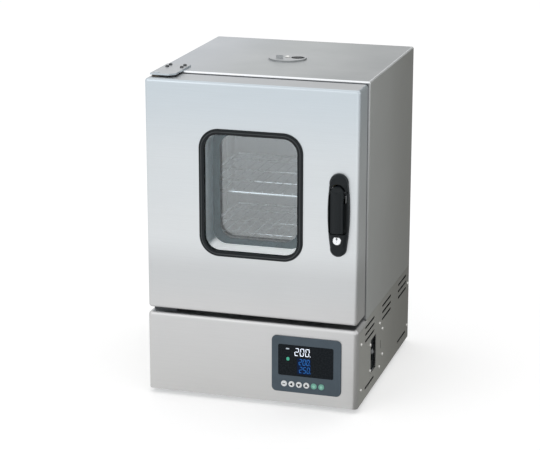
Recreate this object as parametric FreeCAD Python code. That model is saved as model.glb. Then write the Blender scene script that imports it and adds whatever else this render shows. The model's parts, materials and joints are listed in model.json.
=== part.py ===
import FreeCAD, Part
import math
import os
from FreeCAD import Vector

# Natural-convection drying oven: a double-walled steel cabinet on a control base,
# a windowed door on a pin hinge, and a chamber heated from under its floor.
# Millimetres, +Z up. X runs across the front, Y runs from the door to the back.

os.makedirs("parts", exist_ok=True)

# Cabinet
body_height = 592.0
body_depth = 420.0
base_height = 151.0
foot_height = 9.0
sheet = 1.2
shell_bend = 4.0
base_bend = 8.0
front_return = 9.0

# Clearances
seat_gap = 0.3
fit_gap = 0.2
running_gap = 0.06
hole_gap = 0.4
travel_gap = 1.0

# Door
door_side_gap = 1.5
door_depth = 56.0
seal_gap = 11.0
door_bottom_gap = 8.0
door_top_drop = 3.0
door_bend = 6.0

# Window in the door
window_width = 174.0
window_height = 216.0
window_corner = 27.0
window_raise = 13.0
gasket_lip = 10.0
gasket_proud = 3.0
gasket_grip = 5.0
pane_thickness = 4.0
inner_pane_thickness = 4.0
frame_margin = 14.0
frame_corner = 25.0
tunnel_wall = 1.0
pane_lap = 8.0
pane_seat = 3.0

# Chamber
chamber_width = 300.0
chamber_depth = 300.0
side_wall = 50.0
chamber_drop = 50.0
wool_below = 51.0
chamber_flange = 15.0
chamber_corner = 8.0
liner = 1.0
heater_space = 38.0
wool_gap = 0.5
cover_space = 8.0
duct_width = 14.0
duct_length = 120.0
duct_spare = 5.0
wall_hole_reach = 80.0

# Hinge
hinge_side = 15.0
hinge_inset = 28.0
hinge_plate_thickness = 3.0
hinge_plate_width = 46.0
hinge_plate_length = 92.0
hinge_plate_front = 18.0
hinge_plate_chamfer = 10.0
hinge_pin_radius = 4.0
hinge_pin_depth = 14.0
hinge_collar_radius = 7.0
bush_radius = 6.0
bush_flange_radius = 8.5
bush_flange = 1.5
hinge_screw_pitch_x = 28.0
hinge_screw_pitch_y = 18.0
hinge_screw_head = 7.0
bush_pocket = 24.0

# Handle and catch
handle_inset = 15.0
handle_drop = 10.0
handle_length = 152.0
handle_width = 40.0
handle_thickness = 13.0
handle_reach = 20.0
lever_width = 22.0
lever_top = 45.0
lever_bottom = -30.0
lever_pivot_z = 44.0
lever_pivot_y = 7.0
lever_pin_radius = 2.0
lever_barrel = 12.0
lever_thickness = 8.0
lever_slot_gap = 3.0
handle_stud = 2.0
handle_stud_inset = 13.0
pocket_width = 33.0
pocket_floor = 3.0
pocket_corner = 5.0
key_drop = 44.0
key_radius = 7.7
key_proud = 2.0
key_depth = 12.0
cam_width = 9.0
cam_length = 21.0
tail_reach = 28.0
tail_drop = 23.0
tail_width = 5.0
tail_nose = 3.0
tail_cross = 14.0
tail_swing_drop = 12.0
bolt_clear = 3.0
bolt_radius = 5.0
bolt_entry = 6.0
bolt_nose = 2.5
bolt_play = 1.5
bolt_plate = 2.5
bolt_gap = 0.5
catch_case_size = 20.0
catch_case_depth = 24.0
strike_wall = 1.5
strike_length = 44.0

# Seal
seal_margin = 8.0
seal_width = 12.0
seal_corner = 6.0
seal_crest = 5.0
seal_wall = 3.0

# Shelves
shelf_heights = {"upper_shelf": 372.0, "lower_shelf": 270.0}
shelf_rod = 2.5
shelf_cross_rod = 2.0
shelf_wire = 1.25
shelf_wire_pitch = 19.0
shelf_cross_pitch = 79.0
shelf_setback = 9.0
shelf_back_gap = 12.0
weld_sink = 0.25
rack_setback = 45.0
runner_setback = 12.0
rack_peg = 3.0
shelf_corner = 8.0
rack_stand_off = 3.0
rack_strip = 1.5
rack_width = 14.0
runner_width = 10.0
runner_height = 6.0

# Heater
heater_rod = 4.0
heater_pitch = 60.0
heater_bend = 20.0
heater_lift = 18.0
heater_front = 50.0
heater_tail = 30.0
heater_collar = 3.0
floor_slot_length = 44.0
floor_slot_width = 6.0
floor_slot_pitch_x = 70.0
floor_slot_pitch_y = 34.0
floor_margin = 28.0

# Probes through the chamber's back
probe_first_x = 90.0
probe_pitch = 20.0
probe_drop = 60.0
probe_reach = 42.0
probe_radius = 2.0
limiter_reach = 60.0
limiter_radius = 2.8
probe_hole = 3.0
probe_nut = 4.0

# Exhaust on the top
exhaust_setback = 235.0
exhaust_radius = 36.0
vent_radius = 12.5
vent_offset = 20.0
exhaust_pipe_wall = 1.0
damper_thickness = 1.2
damper_screw_radius = 2.0
tab_width = 14.0
tab_height = 7.0
tab_offset = 12.0

# Control panel in the base front
bezel_width = 130.5
bezel_height = 107.0
bezel_side = 95.0
bezel_rise = 75.5
bezel_corner = 9.0
bezel_proud = 3.0
bezel_box_depth = 16.0
bezel_wall = 2.0
bezel_rim = 4.0
display_width = 104.0
display_height = 59.5
display_shift = 0.7
display_rise = 84.0
display_thickness = 1.5
button_radius = 5.6
button_flange = 6.4
button_pitch = 14.05
button_row_shift = 6.2
button_rise = 38.0
button_proud = 1.2
button_travel = 0.8
board_thickness = 1.6
board_gap = 0.3
button_depth = 4.0
button_stem = 2.4
button_names = ["set_button", "shift_button", "down_button", "up_button", "timer_button", "run_button"]

# Breaker in the right side of the base
breaker_setback = 123.0
breaker_rise = 66.0
breaker_opening_width = 42.0
breaker_opening_height = 66.0
breaker_body_width = 46.0
breaker_body_height = 72.0
breaker_body_depth = 58.0
breaker_recess = 4.0
toggle_width = 12.0
toggle_length = 9.0
toggle_radius = 6.0
toggle_tilt = 18.0
toggle_shift = 5.0
toggle_axle = 1.5
toggle_room = 14.0
toggle_swing = 17.0
bracket_front = 33.0
bracket_back = 80.0
bracket_shelf = 50.0

# Air slots in the base and the rear cover
slot_length = 71.0
slot_height = 4.6
slot_corner = 1.4
slot_row_pitch = 13.0
slot_column_pitch = 90.0
slot_top_drop = 14.0
slot_front_setback = 93.0
slot_back_inset = 60.0
low_slot_rise = 19.0
narrow_slot_setback = 180.5
narrow_slot_rise = 65.0
narrow_slot_width = 3.0
narrow_slot_height = 16.0
belly_slot_pitch = 50.0

# Screws and feet
screw_radius = 1.6
screw_head_radius = 3.6
screw_head_height = 1.8
screw_length = 6.0
foot_radius = 11.0
foot_setbacks = [48.0, 352.0]
foot_inset = 24.0
foot_nut = 4.5
flange_screw_setback = 29.0
flange_screw_rises = [27.0, 115.0]
edge_screw_inset = 10.0
chassis_screw_setback = 172.0
chassis_screw_rises = [22.0, 109.0]
bracket_screw_y = [-25.0, 72.0]
bracket_screw_z = [-26.0, 25.0]
cover_screw_inset = 12.0

# Rear
gland_radius = 10.0
gland_reach = 14.0
gland_bore = 4.5
gland_side = 80.0
gland_rise = 50.0
gland_nut = 5.0
gland_thread = 7.0
rear_lip = 12.0
base_lip = 14.0
base_flange = 30.0

# Relay on its ribbed cooler, and the terminal block
relay_width = 60.0
relay_depth = 80.0
relay_height = 22.0
relay_inset = 80.0
cooler_height = 28.0
cooler_plate = 4.0
cooler_rib = 2.5
cooler_pitch = 10.0
terminal_length = 110.0
terminal_depth = 24.0
terminal_rail = 6.0
terminal_height = 26.0
terminal_pitch = 17.0

# Planes worked out from the sizes above
body_width = chamber_width + 2 * side_wall
chamber_height = body_height - base_height - chamber_drop - wool_below
door_width = body_width - 2 * door_side_gap
overall_depth = handle_reach + body_depth + gland_reach
door_y = handle_reach - overall_depth / 2
door_back_y = door_y + door_depth
cabinet_y = door_back_y + seal_gap
back_y = door_y + body_depth
half_width = body_width / 2
base_z = foot_height
seam_z = base_z + base_height
top_z = base_z + body_height
door_z0 = seam_z + door_bottom_gap
door_z1 = top_z - door_top_drop
door_mid_z = (door_z0 + door_z1) / 2
window_z = door_mid_z + window_raise
frame_y = cabinet_y + sheet
chamber_y = frame_y + sheet
chamber_back_y = chamber_y + chamber_depth
chamber_top_z = top_z - chamber_drop
chamber_z = chamber_top_z - chamber_height
floor_z = chamber_z + heater_space
hinge_x = -half_width + hinge_side
hinge_y = door_y + hinge_inset
bolt_x = chamber_width / 2 + seal_margin + seal_width + bolt_clear + bolt_radius
handle_x = bolt_x - handle_inset
handle_z = door_mid_z - handle_drop
pivot_z = handle_z + lever_pivot_z
pivot_y = door_y - lever_pivot_y
nose_y = pivot_y + tail_reach
nose_z = pivot_z - tail_drop
exhaust_y = door_y + exhaust_setback
breaker_y = door_y + breaker_setback
breaker_z = base_z + breaker_rise
breaker_face_x = half_width - sheet - breaker_recess
panel_back_y = back_y - sheet
bezel_x = half_width - bezel_side
bezel_z = base_z + bezel_rise
display_x = bezel_x - display_shift
display_z = base_z + display_rise
button_z = base_z + button_rise
gland_x = half_width - gland_side
slot_setbacks = [slot_front_setback, (slot_front_setback + body_depth - slot_back_inset) / 2,
                 body_depth - slot_back_inset]
slot_rows = [base_height - slot_top_drop - slot_row_pitch * i for i in range(3)]
board_y = door_y + bezel_box_depth
latch_z = nose_z - 4.0

ALONG_X = Vector(1, 0, 0)
ALONG_Y = Vector(0, 1, 0)
ALONG_Z = Vector(0, 0, 1)


# A plain block between three pairs of limits
def block(xs, ys, zs):
    corner = Vector(xs[0], ys[0], zs[0])
    return Part.makeBox(xs[1] - xs[0], ys[1] - ys[0], zs[1] - zs[0], corner)


# A round bar from a point along a direction
def rod(radius, start, direction, length):
    return Part.makeCylinder(radius, length, start, direction)


# A flat plate with rounded corners: its middle, its two widths, its corner radius and its two faces
def plate_xz(middle, size, corner, ys):
    return rounded_plate(middle, size, corner, ys, lambda a, b: Vector(a, ys[0], b), ALONG_Y)


def plate_xy(middle, size, corner, zs):
    return rounded_plate(middle, size, corner, zs, lambda a, b: Vector(a, b, zs[0]), ALONG_Z)


def rounded_plate(middle, size, corner, faces, place, direction):
    return Part.Face(rounded_outline(middle, size, corner, place)).extrude(direction * (faces[1] - faces[0]))


def rounded_outline(middle, size, corner, place):
    a0, a1 = middle[0] - size[0] / 2, middle[0] + size[0] / 2
    b0, b1 = middle[1] - size[1] / 2, middle[1] + size[1] / 2
    r = min(corner, size[0] / 2 - 0.01, size[1] / 2 - 0.01)
    k = r * (1 - math.sqrt(0.5))
    edges = [
        Part.makeLine(place(a0 + r, b0), place(a1 - r, b0)),
        Part.Arc(place(a1 - r, b0), place(a1 - k, b0 + k), place(a1, b0 + r)).toShape(),
        Part.makeLine(place(a1, b0 + r), place(a1, b1 - r)),
        Part.Arc(place(a1, b1 - r), place(a1 - k, b1 - k), place(a1 - r, b1)).toShape(),
        Part.makeLine(place(a1 - r, b1), place(a0 + r, b1)),
        Part.Arc(place(a0 + r, b1), place(a0 + k, b1 - k), place(a0, b1 - r)).toShape(),
        Part.makeLine(place(a0, b1 - r), place(a0, b0 + r)),
        Part.Arc(place(a0, b0 + r), place(a0 + k, b0 + k), place(a0 + r, b0)).toShape(),
    ]
    return Part.Wire(edges)


# A block whose edges are rounded, apart from those that lie on the open sides
def soft_block(xs, ys, zs, radius, open_sides):
    solid = block(xs, ys, zs)
    planes = {"-x": (0, xs[0]), "+x": (0, xs[1]), "-y": (1, ys[0]), "+y": (1, ys[1]),
              "-z": (2, zs[0]), "+z": (2, zs[1])}
    chosen = []
    for edge in solid.Edges:
        middle = edge.CenterOfMass
        on_open = [s for s in open_sides if abs(middle[planes[s][0]] - planes[s][1]) < 1e-6]
        if not on_open:
            chosen.append(edge)
    return solid.makeFillet(radius, chosen)


# A bent sheet box of even wall, open on the named sides
def sheet_box(xs, ys, zs, wall, bend, open_sides):
    outer = soft_block(xs, ys, zs, bend, open_sides)
    inset = {side: (-wall if side in open_sides else wall) for side in ("-x", "+x", "-y", "+y", "-z", "+z")}
    inner = soft_block(
        (xs[0] + inset["-x"], xs[1] - inset["+x"]),
        (ys[0] + inset["-y"], ys[1] - inset["+y"]),
        (zs[0] + inset["-z"], zs[1] - inset["+z"]),
        bend - wall, open_sides)
    return outer.cut(inner)


# Several solids joined into one
def joined(solids):
    first = solids[0]
    if len(solids) > 1:
        first = first.multiFuse(solids[1:])
    return first.removeSplitter()


# Edges of a solid whose middle passes a test
def edges_where(solid, test):
    return [edge for edge in solid.Edges if test(edge.CenterOfMass)]


# A regular polygon with its corners on a circle, at right angles to a direction
def polygon(sides, radius, middle, direction):
    across = ALONG_Z if abs(direction.z) < 0.5 else ALONG_X
    other = direction.cross(across)
    corners = []
    for i in range(sides + 1):
        turn = 2 * math.pi * (i + 0.5) / sides
        corners.append(middle + (across * math.cos(turn) + other * math.sin(turn)) * radius)
    return Part.makePolygon(corners)


# A bar of even section with flat sides, for wires, nuts and shanks
def flat_bar(sides, radius, start, direction, length):
    return Part.Face(polygon(sides, radius, start, direction)).extrude(direction * length)


# A pan-head screw: its head stands on a surface and its shank goes the other way
def screw(seat, outward, head_radius=screw_head_radius, head_height=screw_head_height, length=screw_length):
    crown = polygon(12, head_radius * 0.7, seat + outward * head_height, outward)
    brim = polygon(12, head_radius, seat + outward * head_height * 0.35, outward)
    foot = polygon(12, head_radius, seat, outward)
    head = Part.makeLoft([foot, brim, crown], True, True)
    shank = flat_bar(6, screw_radius, seat - outward * length, outward, length + 0.2)
    return joined([head, shank])


# The hole that a panel screw goes through
def screw_hole(seat, direction):
    return flat_bar(8, screw_radius + fit_gap, seat - direction * 10, direction, 20)


# A punched slot with cut corners, laid out on two axes through a sheet
def slot(middle, size, faces, place, direction):
    a0, a1 = middle[0] - size[0] / 2, middle[0] + size[0] / 2
    b0, b1 = middle[1] - size[1] / 2, middle[1] + size[1] / 2
    c = slot_corner
    corners = [place(a0 + c, b0), place(a1 - c, b0), place(a1, b0 + c), place(a1, b1 - c),
               place(a1 - c, b1), place(a0 + c, b1), place(a0, b1 - c), place(a0, b0 + c), place(a0 + c, b0)]
    return Part.Face(Part.makePolygon(corners)).extrude(direction * (faces[1] - faces[0]))


def slot_yz(y, z, xs, size=(slot_length, slot_height)):
    return slot((y, z), size, xs, lambda a, b: Vector(xs[0], a, b), ALONG_X)


def slot_xz(x, z, ys, size=(slot_length, slot_height)):
    return slot((x, z), size, ys, lambda a, b: Vector(a, ys[0], b), ALONG_Y)


def slot_xy(x, y, zs, size=(slot_length, slot_height)):
    return slot((x, y), size, zs, lambda a, b: Vector(a, b, zs[0]), ALONG_Z)


# Cold air comes up from the base to the heater through four ducts
def air_ducts(zs, spare=0.0):
    y = chamber_y + chamber_depth / 2
    half_w = duct_width / 2 + spare
    half_l = duct_length / 2 + spare
    places = [(i - 1.5) * heater_pitch for i in range(4)]
    return [block((x - half_w, x + half_w), (y - half_l, y + half_l), zs) for x in places]


# Cabinet
def outer_shell():
    shell = sheet_box((-half_width, half_width), (cabinet_y, back_y), (seam_z, top_z),
                      sheet, shell_bend, ["+y", "-z"])
    mouth = block((-half_width + front_return, half_width - front_return),
                  (cabinet_y - 1, cabinet_y + sheet + shell_bend),
                  (seam_z - 1, top_z - front_return))
    inside_mouth = block((-half_width + sheet, half_width - sheet),
                         (cabinet_y + sheet, cabinet_y + sheet + shell_bend),
                         (seam_z - 1, top_z - sheet))
    shell = shell.cut(mouth.cut(inside_mouth))
    shell = shell.cut(rod(vent_radius + exhaust_pipe_wall + hole_gap,
                          Vector(vent_offset, exhaust_y, top_z - 20), ALONG_Z, 40))
    shell = shell.cut(rod(damper_screw_radius + fit_gap, Vector(0, exhaust_y, top_z - 20), ALONG_Z, 40))
    holes = [screw_hole(Vector(x, y, top_z), ALONG_Z) for x, y in hinge_screw_places()]
    return shell.cut(holes)


def front_frame():
    frame = plate_xz((0, (seam_z + top_z) / 2), (body_width - 2 * sheet - 2 * shell_bend,
                                                 top_z - seam_z - 2 * shell_bend),
                     1.0, (frame_y, frame_y + sheet))
    mouth = plate_xz((0, (floor_z + chamber_top_z) / 2), (chamber_width, chamber_top_z - floor_z),
                     chamber_corner, (frame_y - 1, frame_y + sheet + 1))
    bolt_hole = rod(bolt_radius + bolt_play, Vector(bolt_x, frame_y - 1, latch_z), ALONG_Y, sheet + 2)
    return frame.cut([mouth, bolt_hole])


def inner_chamber():
    half = chamber_width / 2
    box = sheet_box((-half - liner, half + liner), (chamber_y, chamber_back_y + liner),
                    (chamber_z - liner, chamber_top_z + liner), liner, chamber_corner + liner, ["-y"])
    middle_z = (chamber_z + chamber_top_z) / 2
    flange_size = (chamber_width + 2 * chamber_flange, chamber_height + 2 * chamber_flange)
    flange = plate_xz((0, middle_z), flange_size, shell_bend, (chamber_y, chamber_y + liner))
    flange = flange.cut(plate_xz((0, middle_z), (chamber_width, chamber_height), chamber_corner,
                                 (chamber_y - 1, chamber_y + liner + 1)))
    box = joined([box, flange])
    cuts = [rod(vent_radius, Vector(vent_offset, exhaust_y, chamber_top_z - 10), ALONG_Z, 30)]
    cuts += air_ducts((chamber_z - 10, chamber_z + 10))
    for x, z in heater_ends():
        cuts.append(rod(heater_rod, Vector(x, chamber_back_y - 10, z), ALONG_Y, 20))
    for x in probe_places():
        cuts.append(rod(probe_hole, Vector(x, chamber_back_y - 10, probe_z()), ALONG_Y, 20))
    return box.cut(cuts)


# The glass wool fills the space between the liner and the cabinet's sheets
def chamber_insulation():
    half = chamber_width / 2 + liner + wool_gap
    wool = block((-half_width + cover_space, half_width - cover_space),
                 (chamber_y + 2 * liner + wool_gap, back_y - cover_space),
                 (seam_z + cover_space / 2, top_z - cover_space))
    cavity = block((-half, half), (chamber_y, chamber_back_y + liner + wool_gap),
                   (chamber_z - liner - wool_gap, chamber_top_z + liner + wool_gap))
    cuts = [cavity]
    cuts.append(rod(vent_radius + exhaust_pipe_wall + hole_gap,
                    Vector(vent_offset, exhaust_y, chamber_top_z - 5), ALONG_Z, chamber_drop + 10))
    for x, z in heater_ends():
        cuts.append(flat_bar(8, 3 * heater_rod, Vector(x, chamber_back_y - 5, z), ALONG_Y, wall_hole_reach))
    for x in probe_places():
        start = Vector(x, chamber_back_y - 5, probe_z())
        cuts.append(flat_bar(8, 2 * probe_hole + 1, start, ALONG_Y, wall_hole_reach))
    cuts += air_ducts((seam_z, chamber_z), duct_spare)
    cuts.append(flat_bar(8, 2 * bolt_radius + bolt_play, Vector(bolt_x, chamber_y - 5, latch_z), ALONG_Y, 40))
    return wool.cut(cuts)


def body_floor():
    deck = block((-half_width + sheet, half_width - sheet), (cabinet_y + shell_bend, panel_back_y - sheet),
                 (seam_z, seam_z + sheet))
    return deck.cut(air_ducts((seam_z - 1, seam_z + sheet + 1), duct_spare))


def rear_cover():
    pan = sheet_box((-half_width + sheet, half_width - sheet), (back_y - rear_lip, back_y),
                    (seam_z + sheet, top_z - sheet), sheet, shell_bend - sheet, ["-y"])
    slots = []
    for row in range(3):
        for column in (-1, 0, 1):
            slots.append(slot_xz(column * slot_column_pitch, seam_z + low_slot_rise + slot_row_pitch * row,
                                 (back_y - 5, back_y + 5)))
    holes = [screw_hole(Vector(x, back_y, z), ALONG_Y) for x, z in rear_cover_screws()]
    return pan.cut(slots + holes)


def rear_cover_screws():
    edge = half_width - cover_screw_inset
    low = seam_z + cover_screw_inset
    high = top_z - cover_screw_inset
    middle = (low + high) / 2
    return [(x, z) for x in (-edge, edge) for z in (low, middle, high)]


# Control base
def base_front_panel():
    pan = sheet_box((-half_width, half_width), (door_y, frame_y + sheet), (base_z, seam_z),
                    sheet, base_bend, ["+y", "-z"])
    side_y = base_side_front()
    for sign in (-1, 1):
        outer = sorted((sign * (half_width + 1), sign * (half_width - sheet)))
        pan = pan.cut(block(outer, (side_y, frame_y + sheet + 1), (base_z - 1, seam_z - sheet - base_bend)))
        skin = sorted((sign * (half_width - sheet), sign * (half_width - 2 * sheet)))
        pan = pan.fuse(block(skin, (door_y + base_bend, side_y + base_flange),
                             (base_z + 2 * sheet, seam_z - base_bend)))
    pan = pan.removeSplitter()
    opening = plate_xz((bezel_x, bezel_z), (bezel_width - 2 * bezel_rim, bezel_height - 2 * bezel_rim),
                       bezel_corner - bezel_rim, (door_y - 5, door_y + 5))
    cuts = [opening]
    cuts += [screw_hole(Vector(x, y, seam_z), ALONG_Z) for x, y in lower_screw_places()]
    for y, z in front_flange_screws():
        cuts += [screw_hole(Vector(sign * half_width, y, z), ALONG_X) for sign in (-1, 1)]
    return pan.cut(cuts)


# The side panels start just behind the front panel's bend
def base_side_front():
    return door_y + base_bend + 4.0


def front_flange_screws():
    return [(door_y + flange_screw_setback, base_z + rise) for rise in flange_screw_rises]


def bracket_screws():
    return [(breaker_y + dy, breaker_z + dz) for dy in bracket_screw_y for dz in bracket_screw_z]


def chassis_screws():
    return [(door_y + chassis_screw_setback, base_z + rise) for rise in chassis_screw_rises]


def rear_edge_screws():
    return [(back_y - edge_screw_inset, base_z + rise) for rise in flange_screw_rises]


def base_side_panel(sign):
    side_y = base_side_front() + seat_gap
    xs = sorted((sign * half_width, sign * (half_width - sheet)))
    through = sorted((sign * (half_width + 5), sign * (half_width - 5)))
    panel = block(xs, (side_y, back_y), (base_z, seam_z - seat_gap))
    low_front = block(xs, (side_y, frame_y + sheet + seat_gap),
                      (seam_z - sheet - base_bend - seat_gap, seam_z))
    cuts = [low_front]
    cuts += [slot_yz(door_y + y, base_z + z, through) for y in slot_setbacks for z in slot_rows]
    ends = (slot_setbacks[0], slot_setbacks[-1])
    cuts += [slot_yz(door_y + y, base_z + low_slot_rise, through) for y in ends]
    places = front_flange_screws() + rear_edge_screws()
    if sign > 0:
        places = places + bracket_screws() + chassis_screws()
        half_w = breaker_opening_width / 2
        half_h = breaker_opening_height / 2
        cuts.append(block(through, (breaker_y - half_w, breaker_y + half_w),
                          (breaker_z - half_h, breaker_z + half_h)))
        cuts.append(narrow_slot(through))
    cuts += [screw_hole(Vector(sign * half_width, y, z), ALONG_X) for y, z in places]
    return panel.cut(cuts)


# A narrow upright slot goes through the side panel and the bracket behind it
def narrow_slot(xs):
    y = door_y + narrow_slot_setback
    z = base_z + narrow_slot_rise
    return block(xs, (y - narrow_slot_width / 2, y + narrow_slot_width / 2),
                 (z - narrow_slot_height / 2, z + narrow_slot_height / 2))


def base_rear_panel():
    pan = sheet_box((-half_width + sheet, half_width - sheet), (back_y - 2 * edge_screw_inset, back_y),
                    (base_z, seam_z - seat_gap), sheet, 2 * sheet, ["-y", "-z"])
    cuts = [rod(gland_thread, Vector(gland_x, back_y - 10, base_z + gland_rise), ALONG_Y, 20)]
    for rise in slot_rows:
        for column in (-1, 0):
            cuts.append(slot_xz(column * slot_column_pitch, base_z + rise, (back_y - 5, back_y + 5)))
    for y, z in rear_edge_screws():
        cuts += [screw_hole(Vector(sign * half_width, y, z), ALONG_X) for sign in (-1, 1)]
    return pan.cut(cuts)


def base_bottom_plate():
    inset = 2 * sheet + 0.1
    pan = sheet_box((-half_width + inset, half_width - inset), (door_y + inset, back_y - inset),
                    (base_z, base_z + base_lip), sheet, base_bend - 2 * sheet, ["+z"])
    cuts = []
    for row in (-1, 0, 1):
        for column in (1, 2):
            cuts.append(slot_xy(-half_width + column * slot_column_pitch,
                                (door_y + back_y) / 2 + row * belly_slot_pitch, (base_z - 5, base_z + 5)))
    for x, y in foot_places():
        cuts.append(rod(foot_stud() + 0.1, Vector(x, y, base_z - 5), ALONG_Z, 10))
    return pan.cut(cuts)


def foot_places():
    edge = half_width - foot_inset
    return [(x, door_y + y) for x in (-edge, edge) for y in foot_setbacks]


def foot_stud():
    return screw_radius + 1.0


# Rubber feet, each a tapered puck with a stud and a nut through the bottom plate
def rubber_feet():
    feet = []
    for x, y in foot_places():
        puck = Part.makeCone(foot_radius - 1.5, foot_radius, foot_height, Vector(x, y, 0))
        stud = flat_bar(8, foot_stud(), Vector(x, y, foot_height - 1), ALONG_Z, 1 + sheet + 3)
        nut = flat_bar(6, foot_nut, Vector(x, y, base_z + sheet), ALONG_Z, foot_nut / 2)
        feet.append(joined([puck, stud, nut]))
    return Part.makeCompound(feet)


# Control panel
def control_bezel():
    size = (bezel_width, bezel_height)
    face = plate_xz((bezel_x, bezel_z), size, bezel_corner, (door_y - bezel_proud, door_y))
    front = edges_where(face, lambda m: abs(m.y - (door_y - bezel_proud)) < 1e-6)
    face = face.makeFillet(1.4, front)
    tub_size = (bezel_width - 2 * bezel_rim - 2 * hole_gap, bezel_height - 2 * bezel_rim - 2 * hole_gap)
    tub = plate_xz((bezel_x, bezel_z), tub_size, bezel_corner - bezel_rim, (door_y - 0.5, board_y))
    room = plate_xz((bezel_x, bezel_z), (tub_size[0] - 2 * bezel_wall, tub_size[1] - 2 * bezel_wall),
                    3.0, (door_y, board_y + 1))
    body = joined([face, tub]).cut(room)
    ledge = 2 * bezel_rim
    sight = plate_xz((display_x, display_z), (display_width - ledge, display_height - ledge), 2.0,
                     (door_y - 10, door_y + 1))
    seat = plate_xz((display_x, display_z), (display_width, display_height), 3.0,
                    (door_y - 10, door_y - bezel_proud + display_thickness))
    cuts = [sight, seat]
    for x in button_places():
        cuts.append(rod(button_radius + seat_gap, Vector(x, door_y - 10, button_z), ALONG_Y, 20))
    body = body.cut(cuts)
    posts = []
    post_inset = 3 * bezel_wall
    for sx in (-1, 1):
        for sz in (-1, 1):
            x = bezel_x + sx * (tub_size[0] / 2 - post_inset)
            z = bezel_z + sz * (tub_size[1] / 2 - post_inset)
            posts.append(flat_bar(8, post_inset / 2, Vector(x, door_y - 0.5, z), ALONG_Y,
                                  board_y - board_thickness - door_y + 0.5))
    return joined([body] + posts)


def button_places():
    middle = (len(button_names) - 1) / 2
    return [bezel_x - button_row_shift + (i - middle) * button_pitch for i in range(len(button_names))]


def display_window():
    size = (display_width - 2 * fit_gap, display_height - 2 * fit_gap)
    return plate_xz((display_x, display_z), size, 3.0 - fit_gap,
                    (door_y - bezel_proud, door_y - bezel_proud + display_thickness))


# The board closes the bezel's tub and carries the display's block and the key switches
def control_board():
    inset = 2 * (bezel_rim + hole_gap + bezel_wall + board_gap)
    size = (bezel_width - inset, bezel_height - inset)
    front = board_y - board_thickness
    board = plate_xz((bezel_x, bezel_z), size, 2.5, (front, board_y))
    half_w = display_width / 2 - bezel_rim - 1
    half_h = display_height / 2 - bezel_rim - 1
    lamps = block((display_x - half_w, display_x + half_w), (door_y + 2.0, front + 0.1),
                  (display_z - half_h, display_z + half_h))
    end = door_y + button_depth + button_travel + hole_gap
    switches = [flat_bar(8, button_stem, Vector(x, end, button_z), ALONG_Y, front + 0.1 - end)
                for x in button_places()]
    return joined([board, lamps] + switches)


# A round push button: bevelled cap in front of the bezel, and a flange and a stem behind it
def push_button(x):
    front = door_y - bezel_proud - button_proud
    bevel = 0.7
    rim = Part.makeCone(button_radius - bevel, button_radius, bevel, Vector(x, front, button_z), ALONG_Y)
    cap = rod(button_radius, Vector(x, front + bevel, button_z), ALONG_Y, door_y + 1.0 - front - bevel)
    flange = flat_bar(12, button_flange, Vector(x, door_y + seat_gap, button_z), ALONG_Y, 1.6)
    stem = flat_bar(8, button_stem, Vector(x, door_y + 1.0, button_z), ALONG_Y, button_depth - 1.0)
    return joined([rim, cap, flange, stem])


# Breaker and wiring in the base
def circuit_breaker():
    x1 = breaker_face_x
    half_w = breaker_body_width / 2
    half_h = breaker_body_height / 2
    body = block((x1 - breaker_body_depth, x1), (breaker_y - half_w, breaker_y + half_w),
                 (breaker_z - half_h, breaker_z + half_h))
    front = edges_where(body, lambda m: abs(m.x - x1) < 1e-6)
    body = body.makeFillet(1.5, front)
    y = toggle_y()
    slot_half = toggle_width / 2 + travel_gap
    room = block((x1 - toggle_room, x1 + 1), (y - slot_half, y + slot_half),
                 (breaker_z - toggle_swing, breaker_z + toggle_swing))
    body = body.cut(room)
    axle_start = Vector(x1 - toggle_radius, y - slot_half - 1, breaker_z)
    axle = rod(toggle_axle, axle_start, ALONG_Y, 2 * slot_half + 2)
    return joined([body, axle])


def toggle_y():
    return breaker_y + toggle_shift


# The toggle rocks about a cross axle; it rests tilted up, which is on
def breaker_toggle():
    x = breaker_face_x - toggle_radius
    y = toggle_y()
    hub = rod(toggle_radius, Vector(x, y - toggle_width / 2, breaker_z), ALONG_Y, toggle_width)
    stalk = plate_xy((x + toggle_length / 2, y), (toggle_length, toggle_width), 1.5,
                     (breaker_z - 3.5, breaker_z + 3.5))
    lever = joined([hub, stalk])
    lever.rotate(Vector(x, y, breaker_z), ALONG_Y, -toggle_tilt)
    bore = rod(toggle_axle + running_gap, Vector(x, y - toggle_width, breaker_z), ALONG_Y, 2 * toggle_width)
    return lever.cut(bore)


# A folded bracket holds the breaker behind the side panel
def breaker_bracket():
    x0 = half_width - sheet
    y0 = breaker_y - bracket_front
    y1 = breaker_y + bracket_back
    half_w = breaker_body_width / 2 + fit_gap
    half_h = breaker_body_height / 2
    z0 = breaker_z - half_h - sheet
    face = block((x0 - sheet, x0), (y0, y1), (z0, breaker_z + half_h + 3))
    window = block((x0 - 5, x0 + 5), (breaker_y - half_w, breaker_y + half_w),
                   (breaker_z - half_h, breaker_z + half_h + 5))
    shelf = block((x0 - bracket_shelf, x0), (y0 + 6, y1 - 6), (z0, z0 + sheet))
    bracket = joined([face.cut([window, narrow_slot((x0 - 5, x0 + 5))]), shelf])
    return bracket.cut([screw_hole(Vector(x0, y, z), ALONG_X) for y, z in bracket_screws()])


# Solid-state relay on a ribbed cooler that stands on the bottom plate
def heater_relay():
    x0, x1 = -relay_width, 0.0
    y1 = back_y - relay_inset
    y0 = y1 - relay_depth
    z = base_z + sheet
    foot = block((x0, x1), (y0, y1), (z, z + cooler_plate))
    deck_z = z + cooler_height - cooler_plate
    ribs = []
    x = x0 + cooler_plate
    while x < x1 - cooler_rib:
        ribs.append(block((x, x + cooler_rib), (y0, y1), (z + cooler_plate - 0.1, deck_z)))
        x += cooler_pitch
    deck = block((x0, x1), (y0, y1), (deck_z - 0.1, z + cooler_height))
    case = block((x0 + 8, x1 - 8), (y0 + 12, y1 - 12),
                 (z + cooler_height - 0.1, z + cooler_height + relay_height))
    return joined([foot, deck, case] + ribs)


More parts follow.
